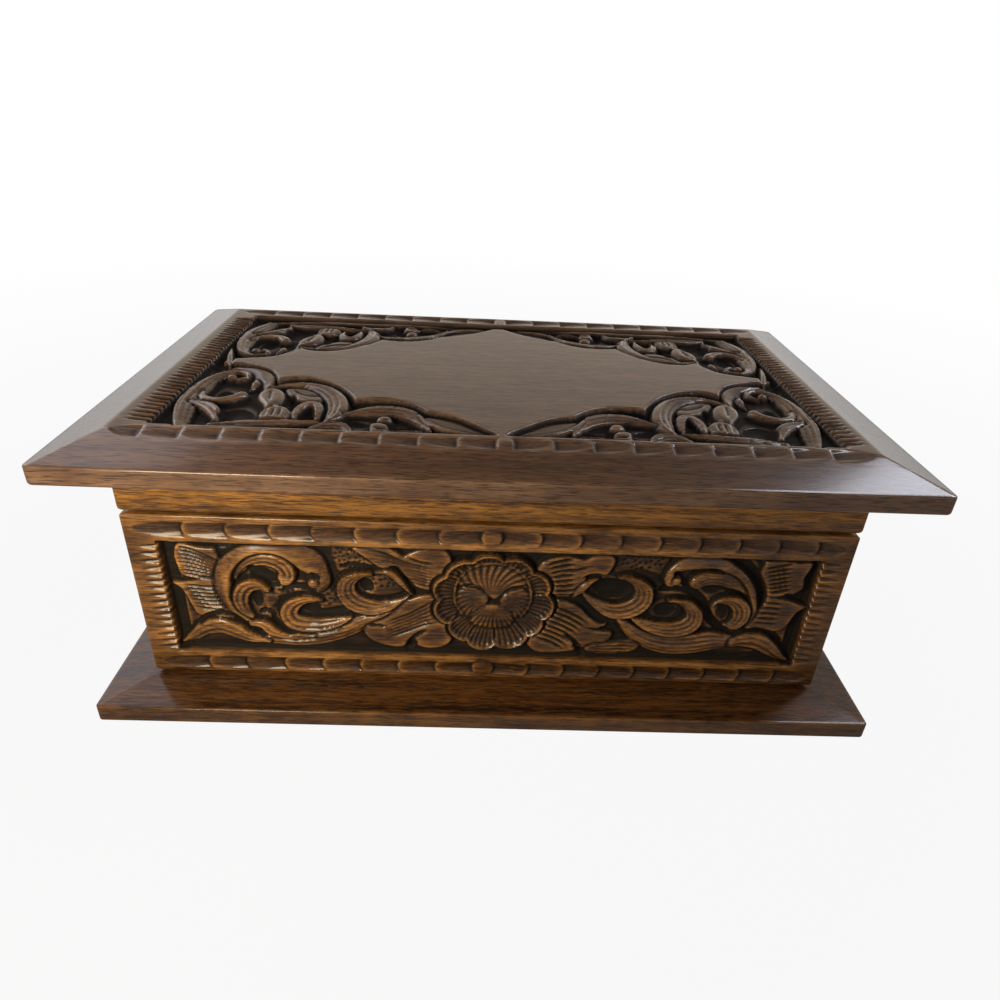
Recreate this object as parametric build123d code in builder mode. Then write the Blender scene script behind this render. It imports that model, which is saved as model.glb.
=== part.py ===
"""Carved jewelry box: a wooden box with a hinged lid between two overhanging boards.

Millimetres, +Z up, front towards -Y. The origin is the centre of the underside.
"""
import math
import os

from build123d import *

# Walls, measured outside
body_width = 269.6
body_depth = 155.1
wall_height = 74.85
wall_thickness = 12.7
wall_foot_radius = 3.0
wall_lip_radius = 0.8

# Base board
base_overhang = 17.7
base_edge = 7.25
base_rise = 2.35
base_corner_radius = 1.8
base_under_ease = 0.8

# Lid board
lid_overhang = 17.7
lid_edge = 7.1
lid_rise = 6.0
lid_bevel_width = 18.9
lid_corner_radius = 2.2
lid_top_corner_radius = 1.0
lid_under_radius = 1.4
lid_arris_ease = 0.6

# Lid rails, the frame that stands on the walls
rail_height = 19.35
rail_thickness = 12.7
rail_lip_radius = 2.5
seam_gap = 0.6

# Cloth lining on card
lining_thickness = 1.6
lining_clearance = 0.3
lining_reveal = 5.0

# Butt hinges
hinge_inset = 50.0
leaf_length = 32.0
leaf_width = 9.5
leaf_thickness = 1.2
knuckle_count = 5
knuckle_radius = 2.4
knuckle_gap = 0.15
barrel_clearance = 0.3
mortise_clearance = 0.1
pin_radius = 1.2
pin_fit = 0.04
pin_head_radius = 1.9
pin_head_height = 0.8

# Countersunk hinge screws
leaf_screw_length = 10.0
leaf_screw_radius = 1.2
leaf_screw_head_radius = 2.1
leaf_screw_spacing = 19.0
leaf_screw_setback = 5.2

# Countersunk screws that hold the base board
base_screw_length = 25.0
base_screw_radius = 1.75
base_screw_head_radius = 3.5
base_screw_spacing = 150.0

# What every screw shares
screw_fit = 0.05
screw_tip = 1.6
slot_width = 0.7
slot_depth = 0.5
countersink_angle = 90

# Carving: sunk grounds with the main forms left standing on them
ground_depth = 3.4
scroll_height = 2.8
leaf_height = 2.0
carving_axis = 1.0

# Carved field of the front, with a rosette between two scrolling stems
field_width = 248.8
field_height = 51.2
field_foot = 12.0
rosette_height = 48.6
rosette_lobes = 11
rosette_lobe_radius = 6.4
rosette_reach = 24.2
rosette_eye_radius = 14.4
rosette_eye_depth = 1.7

# Scooped borders, one gouge wide
scoop_width = 6.0
scoop_depth = 1.3
scoop_land = 0.4
scoop_bulge = 0.9
front_scoop_pitch = 15.2
front_scoop_count = 8
front_border_inset = 6.0
lid_scoop_width = 7.0
lid_scoop_pitch = 13.6
lid_scoop_count = 9
lid_back_row_setback = 5.4
scoop_middle_gap = 6.0

# Front and back edges of the lid's carved field
lid_field_front = -70.9
lid_field_back = 64.4

# Levels and places that follow
base_top = base_edge + base_rise
wall_top = base_top + wall_height
rail_bottom = wall_top + seam_gap
rail_top = rail_bottom + rail_height
lid_top = rail_top + lid_edge + lid_rise
back_face = body_depth / 2
pin_y = back_face + knuckle_radius + barrel_clearance
pin_z = wall_top + seam_gap / 2
hinge_x = body_width / 2 - hinge_inset
inner_width = body_width - 2 * wall_thickness
inner_depth = body_depth - 2 * wall_thickness
leaf_screw_y = back_face - leaf_screw_setback
lid_flat_edge = body_depth / 2 + lid_overhang - lid_bevel_width
face_down = (180, 0, 0)
front_plane = Plane(origin=(0, -body_depth / 2, 0), x_dir=(1, 0, 0), z_dir=(0, -1, 0))
lid_plane = Plane.XY.offset(lid_top)

# Left stem of the front: each scroll is a line with its half widths, each leaf an outline
front_scrolls = [
    (
        [(-95.4, 35.6), (-102.6, 49), (-98.8, 63.4), (-84, 70.4), (-69.2, 64.9), (-64.4, 55)],
        (1.6, 3.4, 3.8, 3.0, 5.0, 2.2),
    ),
    ([(-98, 27.6), (-75, 28.5), (-56, 33.8), (-32.5, 48.6)], (2.0, 4.8, 4.4, 0.8)),
    ([(-66.5, 46.6), (-76.8, 44.6), (-77, 36.4), (-55, 39.2)], (1.3, 3.5, 3.7, 0.8)),
    ([(-123, 24), (-106.4, 32.8), (-88, 26)], (0.6, 4.2, 1.0)),
    ([(-46.4, 59.6), (-55.4, 55.8), (-52.8, 46.4), (-30.4, 51.6)], (1.0, 3.6, 4.0, 0.4)),
]
front_leaves = [
    [(-104, 70.6), (-119.3, 70.8), (-120.2, 60.5), (-113, 55.6), (-104, 57.5)],
    [(-104, 56.4), (-122.4, 53.3), (-110, 37), (-102, 40)],
    [(-55, 71), (-38.5, 72.2), (-18, 71), (-16, 60), (-42.6, 63)],
    [(-24, 49.5), (-49.8, 35.4), (-46.6, 27), (-30, 25.6), (-17, 26.4), (-14, 36)],
]

# Left half of the lid's plain lozenge, as scallops from the side to the front tip
lozenge_scallops = [
    [(-121.5, -3), (-105, -7.8), (-88.4, -24.8)],
    [(-88.4, -24.8), (-74, -21.6), (-55, -43)],
    [(-55, -43), (-40, -41.8), (-26.6, -51.6)],
    [(-26.6, -51.6), (-8, -63), (-1, -70.4)],
]

# Front left corner of the lid, drawn like the front's left stem
lid_scrolls = [
    ([(-111.4, -68.6), (-116, -45), (-112.8, -19.4), (-104.4, -18)], (2.6, 4.4, 3.6, 1.2)),
    ([(-112, -8.6), (-96, -17), (-92.6, -33)], (1.0, 3.8, 1.4)),
    ([(-89.6, -30.4), (-76, -26.8), (-63.4, -37.4), (-60.2, -55)], (1.0, 2.8, 4.3, 2.6)),
    ([(-56.4, -53.6), (-43.6, -49.6), (-31, -54.8), (-24.4, -66.4)], (1.2, 4.0, 3.4, 0.9)),
]
lid_leaves = [
    [(-90, -34), (-96, -52), (-84, -64), (-72, -58), (-80, -44)],
    [(-28, -52.8), (-12, -61), (-3, -69.6), (-22, -62)],
]
back_squeeze = 0.92
back_shift = -5.3

os.makedirs("parts", exist_ok=True)


def bevelled_board(width, depth, corner, edge, rise, top_width, top_depth, top_corner, floor):
    """A board with an upright edge band and a bevel that rises to its flat top."""
    with BuildPart() as board:
        with BuildSketch(Plane.XY.offset(floor)):
            RectangleRounded(width, depth, corner)
        extrude(amount=edge)
        with BuildSketch(Plane.XY.offset(floor + edge)):
            RectangleRounded(width, depth, corner)
        with BuildSketch(Plane.XY.offset(floor + edge + rise)):
            RectangleRounded(top_width, top_depth, top_corner)
        loft(ruled=True)
    return board


def mitred_member(side, thickness, height, floor, foot_radius, lip_radius):
    """One side of a mitred frame, rounded along its outer foot and lip."""
    ends = {
        "front": ((-1, -1), (1, -1)),
        "back": ((1, 1), (-1, 1)),
        "left": ((-1, 1), (-1, -1)),
        "right": ((1, -1), (1, 1)),
    }[side]
    outer_x, outer_y = body_width / 2, body_depth / 2
    outer = [(x * outer_x, y * outer_y) for x, y in ends]
    inner = [(x * (outer_x - thickness), y * (outer_y - thickness)) for x, y in ends]
    with BuildPart() as member:
        with BuildSketch(Plane.XY.offset(floor)):
            with BuildLine():
                Polyline(*outer, *reversed(inner), close=True)
            make_face()
        extrude(amount=height)
        lengthwise = Axis.X if side in ("front", "back") else Axis.Y
        across = Axis.Y if side in ("front", "back") else Axis.X
        outside = 0 if side in ("front", "left") else -1
        foot_and_lip = member.edges().filter_by(lengthwise).group_by(across)[outside].sort_by(Axis.Z)
        fillet(foot_and_lip[0], foot_radius)
        foot_and_lip = member.edges().filter_by(lengthwise).group_by(across)[outside].sort_by(Axis.Z)
        fillet(foot_and_lip[-1], lip_radius)
    return member


def countersunk_screw(length, shank_radius, head_radius):
    """A slotted screw with its head's face at the origin and its point down -Z."""
    head_height = (head_radius - shank_radius) / math.tan(math.radians(countersink_angle / 2))
    with BuildPart() as screw:
        with BuildSketch(Plane.XZ):
            with BuildLine():
                Polyline(
                    (0, 0),
                    (head_radius, 0),
                    (shank_radius, -head_height),
                    (shank_radius, screw_tip - length),
                    (0, -length),
                    close=True,
                )
            make_face()
        revolve(axis=Axis.Z)
        with BuildSketch(Plane.XY):
            Rectangle(2 * head_radius, slot_width)
        extrude(amount=-slot_depth, mode=Mode.SUBTRACT)
    return screw


def leaf_screw_places(level):
    """Centres of the screw heads of both hinges at one level."""
    return [
        (side * hinge_x + end * leaf_screw_spacing / 2, leaf_screw_y, level)
        for side in (-1, 1)
        for end in (-1, 1)
    ]


def hinge_leaf(centre_x, carries_ends):
    """A hinge leaf with its own knuckles, let into the wall's top edge or the rail's underside."""
    pitch = leaf_length / knuckle_count
    first = 0 if carries_ends else 1
    direction = -1 if carries_ends else 1
    level = wall_top if carries_ends else rail_bottom
    turn = (0, 0, 0) if carries_ends else face_down
    with BuildPart() as leaf:
        with BuildSketch(Plane.XY.offset(level)):
            with Locations((centre_x, back_face - leaf_width / 2)):
                Rectangle(leaf_length, leaf_width)
        extrude(amount=direction * leaf_thickness)
        for index in range(first, knuckle_count, 2):
            start = centre_x - leaf_length / 2 + index * pitch
            low = start + (knuckle_gap / 2 if index > 0 else 0)
            high = start + pitch - (knuckle_gap / 2 if index < knuckle_count - 1 else 0)
            with BuildSketch(Plane.YZ.offset(low)):
                with Locations((pin_y, pin_z)):
                    Circle(knuckle_radius)
            extrude(amount=high - low)
            with BuildSketch(Plane.XY.offset(level)):
                with Locations(((low + high) / 2, (back_face + pin_y) / 2)):
                    Rectangle(high - low, pin_y - back_face)
            extrude(amount=direction * leaf_thickness)
        with BuildSketch(Plane.YZ.offset(centre_x - leaf_length)):
            with Locations((pin_y, pin_z)):
                Circle(pin_radius + pin_fit)
        extrude(amount=2 * leaf_length, mode=Mode.SUBTRACT)
        for end in (-1, 1):
            place = (centre_x + end * leaf_screw_spacing / 2, leaf_screw_y, level)
            with Locations(Location(place, turn)):
                CounterSinkHole(
                    radius=leaf_screw_radius + screw_fit,
                    counter_sink_radius=leaf_screw_head_radius + screw_fit,
                    depth=leaf_thickness,
                    counter_sink_angle=countersink_angle,
                )
    return leaf


def cut_hinge_seats(member, level, direction):
    """Mortises for both leaves and pilot holes for their screws, in a wall or a rail."""
    turn = (0, 0, 0) if direction < 0 else face_down
    with BuildSketch(Plane.XY.offset(level)) as seats:
        with Locations(*[(side * hinge_x, back_face) for side in (-1, 1)]):
            Rectangle(
                leaf_length + 2 * mortise_clearance,
                2 * (leaf_width + mortise_clearance),
            )
    with member:
        extrude(seats.sketch, amount=direction * leaf_thickness, mode=Mode.SUBTRACT)
        with Locations(*[Location(place, turn) for place in leaf_screw_places(level)]):
            Hole(radius=leaf_screw_radius + screw_fit, depth=leaf_screw_length + screw_fit)


def base_screw_places(level):
    """Centres of the base screws, along the middle of each wall."""
    row_y = (body_depth - wall_thickness) / 2
    row_x = (body_width - wall_thickness) / 2
    long_rows = [
        (end * base_screw_spacing / 2, side * row_y, level) for side in (-1, 1) for end in (-1, 1)
    ]
    return long_rows + [(side * row_x, 0, level) for side in (-1, 1)]


def scroll(points, half_widths):
    """A band that swells and tapers along a smooth line, as a sketch."""
    with BuildLine() as spine:
        Spline(*points)
    line = spine.edges()[0]
    sides = []
    for direction in (1, -1):
        side_points = []
        for point, half_width in zip(points, half_widths):
            heading = line % line.param_at_point(Vector(*point))
            side_points.append(Vector(*point) + Vector(-heading.Y, heading.X) * half_width * direction)
        sides.append(side_points)
    with BuildSketch() as band:
        with BuildLine():
            left = Spline(*sides[0])
            right = Spline(*sides[1])
            Line(left @ 0, right @ 0)
            Line(left @ 1, right @ 1)
        make_face()
    return band.sketch


def leaf(points):
    """A leaf or lobe with a smooth outline, as a sketch."""
    with BuildSketch() as outline:
        with BuildLine():
            Spline(*points, periodic=True)
        make_face()
    return outline.sketch


def placed(points, to_right, to_back=False):
    """Points of a left front corner, moved to the right half or to the back of the lid."""
    return [
        (2 * carving_axis - x if to_right else x, back_shift - back_squeeze * y if to_back else y)
        for x, y in points
    ]


def rosette():
    """The lobed outline of the rosette, as a sketch."""
    with BuildSketch() as flower:
        with Locations((carving_axis, rosette_height)):
            Circle(rosette_reach - rosette_lobe_radius / 2)
            with PolarLocations(rosette_reach - rosette_lobe_radius, rosette_lobes):
                Circle(rosette_lobe_radius)
    return flower.sketch


def scoop_row(level, pitch, width, count):
    """A row of scoops on both sides of the middle, each pointed away from it, as a sketch."""
    length = pitch - scoop_land
    with BuildSketch() as row:
        for direction in (-1, 1):
            for index in range(count):
                stop = carving_axis + direction * (scoop_middle_gap / 2 + index * pitch)
                middle = stop + direction * length / 2
                nose = (stop + direction * length, level)
                rise = width / 4 + scoop_bulge
                with BuildLine():
                    upper = ThreePointArc(nose, (middle, level + rise), (stop, level + width / 2))
                    lower = ThreePointArc(nose, (middle, level - rise), (stop, level - width / 2))
                    Line(upper @ 1, lower @ 1)
                make_face()
    return row.sketch


def lid_pocket(to_right, to_back):
    """The sunk corner between the lid's plain lozenge and its borders, as a sketch."""
    edge = lid_field_back if to_back else lid_field_front
    with BuildSketch() as pocket:
        with BuildLine():
            scallops = [
                Spline(*placed(scallop, to_right, to_back)) for scallop in lozenge_scallops
            ]
            tip = scallops[-1] @ 1
            side = scallops[0] @ 0
            Polyline(tip, (tip.X, edge), (side.X, edge), side)
        make_face()
    return pocket.sketch


def on_plane(plane, outlines):
    """Outlines joined into one sketch on a plane."""
    with BuildSketch(plane) as joined:
        for outline in outlines:
            add(outline)
    return joined.sketch


def carve(board, plane, field, forms, cuts):
    """Sinks a board's field, leaves forms standing on its ground and makes the last cuts."""
    ground = plane.offset(-ground_depth)
    sunk = on_plane(plane, field)
    standing = [(on_plane(ground, outlines), height) for outlines, height in forms]
    last = [(on_plane(plane, outlines), depth) for outlines, depth in cuts]
    with board:
        extrude(sunk, amount=-ground_depth, mode=Mode.SUBTRACT)
        for form, height in standing:
            extrude(form, amount=height)
        for cut, depth in last:
            extrude(cut, amount=-depth, mode=Mode.SUBTRACT)


def carve_front(wall):
    """The front's sunk field with its stems and rosette, between two scooped borders."""
    with BuildSketch() as field:
        with Locations((carving_axis, base_top + field_foot + field_height / 2)):
            Rectangle(field_width, field_height)
    with BuildSketch() as eye:
        with Locations((carving_axis, rosette_height)):
            Circle(rosette_eye_radius)
    halves = (False, True)
    leaves = [leaf(placed(points, right)) for points in front_leaves for right in halves]
    scrolls = [
        scroll(placed(points, right), widths) for points, widths in front_scrolls for right in halves
    ]
    borders = [
        scoop_row(level, front_scoop_pitch, scoop_width, front_scoop_count)
        for level in (base_top + front_border_inset, wall_top - front_border_inset)
    ]
    carve(
        wall,
        front_plane,
        [field.sketch],
        [(leaves, leaf_height), (scrolls, scroll_height), ([rosette()], ground_depth)],
        [([eye.sketch], rosette_eye_depth), (borders, scoop_depth)],
    )


def carve_lid(board):
    """The lid's four sunk corners with their scrolls, between two scooped borders."""
    corners = [(right, back) for right in (False, True) for back in (False, True)]
    leaves = [leaf(placed(points, *corner)) for points in lid_leaves for corner in corners]
    scrolls = [
        scroll(placed(points, *corner), widths) for points, widths in lid_scrolls for corner in corners
    ]
    borders = [
        scoop_row(level, lid_scoop_pitch, lid_scoop_width, lid_scoop_count)
        for level in (-lid_flat_edge, lid_flat_edge - lid_back_row_setback)
    ]
    carve(
        board,
        lid_plane,
        [lid_pocket(*corner) for corner in corners],
        [(leaves, leaf_height), (scrolls, scroll_height)],
        [(borders, scoop_depth)],
    )


# Base board with the countersunk holes of its screws
base_board = bevelled_board(
    body_width + 2 * base_overhang,
    body_depth + 2 * base_overhang,
    base_corner_radius,
    base_edge,
    base_rise,
    body_width,
    body_depth,
    base_corner_radius / 2,
    0,
)
with base_board:
    chamfer(base_board.faces().sort_by(Axis.Z)[0].edges(), base_under_ease)
    with Locations(*[Location(place, face_down) for place in base_screw_places(0)]):
        CounterSinkHole(
            radius=base_screw_radius + screw_fit,
            counter_sink_radius=base_screw_head_radius + screw_fit,
            depth=base_top,
            counter_sink_angle=countersink_angle,
        )
base_board.part.label = "base_board"
export_step(base_board.part, "parts/base_board.step")

# Walls, mitred at the corners, with pilot holes in their feet
for side in ("front", "back", "left", "right"):
    wall = mitred_member(
        side, wall_thickness, wall_height, base_top, wall_foot_radius, wall_lip_radius
    )
    pilot_depth = base_screw_length - base_top + screw_fit
    with wall:
        with Locations(*[Location(place, face_down) for place in base_screw_places(base_top)]):
            Hole(radius=base_screw_radius + screw_fit, depth=pilot_depth)
    if side == "back":
        cut_hinge_seats(wall, wall_top, -1)
    if side == "front":
        carve_front(wall)
    wall.part.label = f"{side}_wall"
    export_step(wall.part, f"parts/{side}_wall.step")

# Screws through the base board into the walls
base_screw = countersunk_screw(base_screw_length, base_screw_radius, base_screw_head_radius)
with BuildPart() as base_screws:
    with Locations(*[Location(place, face_down) for place in base_screw_places(0)]):
        add(base_screw.part)
base_screws.part.label = "base_screws"
export_step(base_screws.part, "parts/base_screws.step")

# Floor lining, laid on the base board between the walls
with BuildPart() as floor_lining:
    with BuildSketch(Plane.XY.offset(base_top)):
        Rectangle(inner_width - 2 * lining_clearance, inner_depth - 2 * lining_clearance)
    extrude(amount=lining_thickness)
floor_lining.part.label = "floor_lining"
export_step(floor_lining.part, "parts/floor_lining.step")

# Wall linings stand on the floor lining, the short ones between the long ones
lining_foot = base_top + lining_thickness
lining_height = wall_height - lining_thickness - lining_reveal
lining_offset = lining_clearance + lining_thickness / 2
lining_long = inner_width - 2 * lining_clearance
lining_short = inner_depth - 2 * (2 * lining_clearance + lining_thickness)
for side, across, along, step_x, step_y in (
    ("front", lining_long, lining_thickness, 0, -1),
    ("back", lining_long, lining_thickness, 0, 1),
    ("left", lining_thickness, lining_short, -1, 0),
    ("right", lining_thickness, lining_short, 1, 0),
):
    centre_x = step_x * (inner_width / 2 - lining_offset)
    centre_y = step_y * (inner_depth / 2 - lining_offset)
    with BuildPart() as lining:
        with BuildSketch(Plane.XY.offset(lining_foot)):
            with Locations((centre_x, centre_y)):
                Rectangle(across, along)
        extrude(amount=lining_height)
    lining.part.label = f"{side}_lining"
    export_step(lining.part, f"parts/{side}_lining.step")

# Lid rails, mitred like the walls
for side in ("front", "back", "left", "right"):
    rail = mitred_member(
        side, rail_thickness, rail_height, rail_bottom, rail_lip_radius, wall_lip_radius
    )
    if side == "back":
        cut_hinge_seats(rail, rail_bottom, 1)
    rail.part.label = f"lid_rail_{side}"
    export_step(rail.part, f"parts/lid_rail_{side}.step")

# Lid board
lid_board = bevelled_board(
    body_width + 2 * lid_overhang,
    body_depth + 2 * lid_overhang,
    lid_corner_radius,
    lid_edge,
    lid_rise,
    body_width + 2 * (lid_overhang - lid_bevel_width),
    body_depth + 2 * (lid_overhang - lid_bevel_width),
    lid_top_corner_radius,
    rail_top,
)
with lid_board:
    edge_level = rail_top + lid_edge
    fillet(lid_board.faces().sort_by(Axis.Z)[0].edges(), lid_under_radius)
    fillet(lid_board.edges().filter_by_position(Axis.Z, edge_level, edge_level), lid_arris_ease)
carve_lid(lid_board)
lid_board.part.label = "lid_board"
export_step(lid_board.part, "parts/lid_board.step")

# Lid lining, under the lid board inside the rails
with BuildPart() as lid_lining:
    with BuildSketch(Plane.XY.offset(rail_top - lining_thickness)):
        Rectangle(
            body_width - 2 * (rail_thickness + lining_clearance),
            body_depth - 2 * (rail_thickness + lining_clearance),
        )
    extrude(amount=lining_thickness)
lid_lining.part.label = "lid_lining"
export_step(lid_lining.part, "parts/lid_lining.step")

# Hinges: two leaves with interleaved knuckles turn on a headed pin
for side, direction in (("left", -1), ("right", 1)):
    centre_x = direction * hinge_x
    box_leaf = hinge_leaf(centre_x, carries_ends=True)
    box_leaf.part.label = f"hinge_{side}_box_leaf"
    export_step(box_leaf.part, f"parts/hinge_{side}_box_leaf.step")
    lid_leaf = hinge_leaf(centre_x, carries_ends=False)
    lid_leaf.part.label = f"hinge_{side}_lid_leaf"
    export_step(lid_leaf.part, f"parts/hinge_{side}_lid_leaf.step")
    with BuildPart() as pin:
        with BuildSketch(Plane.YZ.offset(centre_x - leaf_length / 2)):
            with Locations((pin_y, pin_z)):
                Circle(pin_radius)
        extrude(amount=leaf_length)
        for end, outward in ((-1, -1), (1, 1)):
            with BuildSketch(Plane.YZ.offset(centre_x + end * leaf_length / 2)):
                with Locations((pin_y, pin_z)):
                    Circle(pin_head_radius)
            extrude(amount=outward * pin_head_height)
        chamfer(pin.faces().sort_by(Axis.X)[0].edges(), pin_head_height / 2)
        chamfer(pin.faces().sort_by(Axis.X)[-1].edges(), pin_head_height / 2)
    pin.part.label = f"hinge_{side}_pin"
    export_step(pin.part, f"parts/hinge_{side}_pin.step")

# Screws of the leaves, down into the back wall and up into the back rail
leaf_screw = countersunk_screw(leaf_screw_length, leaf_screw_radius, leaf_screw_head_radius)
with BuildPart() as box_leaf_screws:
    with Locations(*[Location(place) for place in leaf_screw_places(wall_top)]):
        add(leaf_screw.part)
box_leaf_screws.part.label = "box_leaf_screws"
export_step(box_leaf_screws.part, "parts/box_leaf_screws.step")
with BuildPart() as lid_leaf_screws:
    with Locations(*[Location(place, face_down) for place in leaf_screw_places(rail_bottom)]):
        add(leaf_screw.part)
lid_leaf_screws.part.label = "lid_leaf_screws"
export_step(lid_leaf_screws.part, "parts/lid_leaf_screws.step")
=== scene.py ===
"""Dresses the carved walnut jewelry box: carving, boards, velvet linings, brass hinges and a plain studio."""
import logging
import math
from collections.abc import Callable, Iterable, Sequence
from dataclasses import dataclass, field, fields, replace
from enum import Enum

import bmesh
import bpy
import numpy as np
from mathutils import Matrix, Vector


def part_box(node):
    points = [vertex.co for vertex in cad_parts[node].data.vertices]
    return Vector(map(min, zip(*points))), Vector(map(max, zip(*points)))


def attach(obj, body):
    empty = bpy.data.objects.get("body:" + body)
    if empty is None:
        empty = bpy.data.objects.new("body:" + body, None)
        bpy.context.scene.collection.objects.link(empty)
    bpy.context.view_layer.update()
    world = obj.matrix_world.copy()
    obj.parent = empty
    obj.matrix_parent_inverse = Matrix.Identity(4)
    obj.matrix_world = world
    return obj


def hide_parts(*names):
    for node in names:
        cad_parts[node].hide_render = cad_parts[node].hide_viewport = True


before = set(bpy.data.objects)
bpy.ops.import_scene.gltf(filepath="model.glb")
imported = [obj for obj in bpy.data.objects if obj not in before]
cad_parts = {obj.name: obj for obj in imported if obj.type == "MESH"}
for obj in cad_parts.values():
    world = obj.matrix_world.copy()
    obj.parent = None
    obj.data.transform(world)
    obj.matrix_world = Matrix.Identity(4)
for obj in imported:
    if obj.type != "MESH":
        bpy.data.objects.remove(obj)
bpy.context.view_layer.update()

log = logging.getLogger("jewelry_box")

MM = 0.001
Point = tuple[float, float]
Triple = tuple[float, float, float]
Curve = tuple[Point, ...]


# Relief: a sampled height field in millimetres and the cuts that shape it

# Width of a cut's edge and reach of the last blur of masks, in cells
EDGE_CELLS = 1.7
MASK_BLUR = 0.6


@dataclass(frozen=True)
class Ageing:
    """How wear, and the painted shade and dark stain of hollows, follow a carving: reaches and depths in
    millimetres, the rest as weights.
    """

    close_reach: float = 0.6
    wear_reach: float = 1.6
    wear_close: float = 1.9
    wear_wide: float = 0.6
    wear_bias: float = -0.02
    wear_lost_on_sides: float = 0.8
    handled: float = 0.3
    handled_depth: float = 1.6
    # The hollow weights shape painted shade: darkness in narrow and wide hollows, on deep grounds and on
    # steep cut sides.
    hollow_reach: float = 2.6
    hollow_close: float = 2.2
    hollow_wide: float = 0.35
    hollow_buried: float = 0.6
    hollow_on_sides: float = 0.9
    buried_from: float = 0.9
    buried_over: float = 2.9
    steep_from: float = 0.7


AGEING = Ageing()


def smooth_curve(points: Sequence[Point], step: float = 0.3) -> np.ndarray:
    """Passes a smooth curve through a few points and samples it evenly.

    Args:
        points: The points that the curve passes through.
        step: The distance between samples.

    Returns:
        The samples, one row each.
    """
    p = np.asarray(points, float)
    chord = np.hypot(*np.diff(p, axis=0).T)
    u = np.concatenate([[0.0], np.cumsum(np.sqrt(chord))])
    tangent = np.empty_like(p)
    tangent[1:-1] = (p[2:] - p[:-2]) / (u[2:] - u[:-2])[:, None]
    if len(p) > 2:
        tangent[0] = 2 * (p[1] - p[0]) / (u[1] - u[0]) - tangent[1]
        tangent[-1] = 2 * (p[-1] - p[-2]) / (u[-1] - u[-2]) - tangent[-2]
    else:
        tangent[:] = (p[1] - p[0]) / (u[1] - u[0])
    fine = np.linspace(0, u[-1], 24 * len(p))
    k = np.clip(np.searchsorted(u, fine, side="right") - 1, 0, len(u) - 2)
    gap = (u[k + 1] - u[k])[:, None]
    s = (fine - u[k])[:, None] / gap
    dense = (
        (2 * s**3 - 3 * s**2 + 1) * p[k]
        + (s**3 - 2 * s**2 + s) * gap * tangent[k]
        + (3 * s**2 - 2 * s**3) * p[k + 1]
        + (s**3 - s**2) * gap * tangent[k + 1]
    )
    run = np.concatenate([[0.0], np.cumsum(np.hypot(*np.diff(dense, axis=0).T))])
    even = np.linspace(0, run[-1], max(8, int(run[-1] / step) + 1))
    return np.column_stack([np.interp(even, run, dense[:, i]) for i in range(2)])


def along(values: Sequence[float], t: np.ndarray) -> np.ndarray:
    """Spreads a few values evenly along a run and reads them at t.

    Args:
        values: The values from the start of the run to its end.
        t: Where to read them, from 0 to 1.

    Returns:
        The value at each t.
    """
    return np.interp(t, np.linspace(0, 1, len(values)), values)


def filtered(heights: np.ndarray, kernel: np.ndarray) -> np.ndarray:
    """Applies a one-dimensional kernel down and then across a grid.

    Args:
        heights: The grid.
        kernel: An odd number of weights.

    Returns:
        The filtered grid.
    """
    reach = len(kernel) // 2
    for axis in (0, 1):
        heights = np.apply_along_axis(
            lambda row: np.convolve(np.pad(row, reach, mode="edge"), kernel, mode="valid"), axis, heights
        )
    return heights


def blurred(heights: np.ndarray, radius: float) -> np.ndarray:
    """Blurs a grid.

    Args:
        heights: The grid.
        radius: The blur's radius in cells.

    Returns:
        The blurred grid.
    """
    reach = max(1, int(3 * radius))
    kernel = np.exp(-0.5 * (np.arange(-reach, reach + 1) / radius) ** 2)
    return filtered(heights, kernel / kernel.sum())


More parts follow.
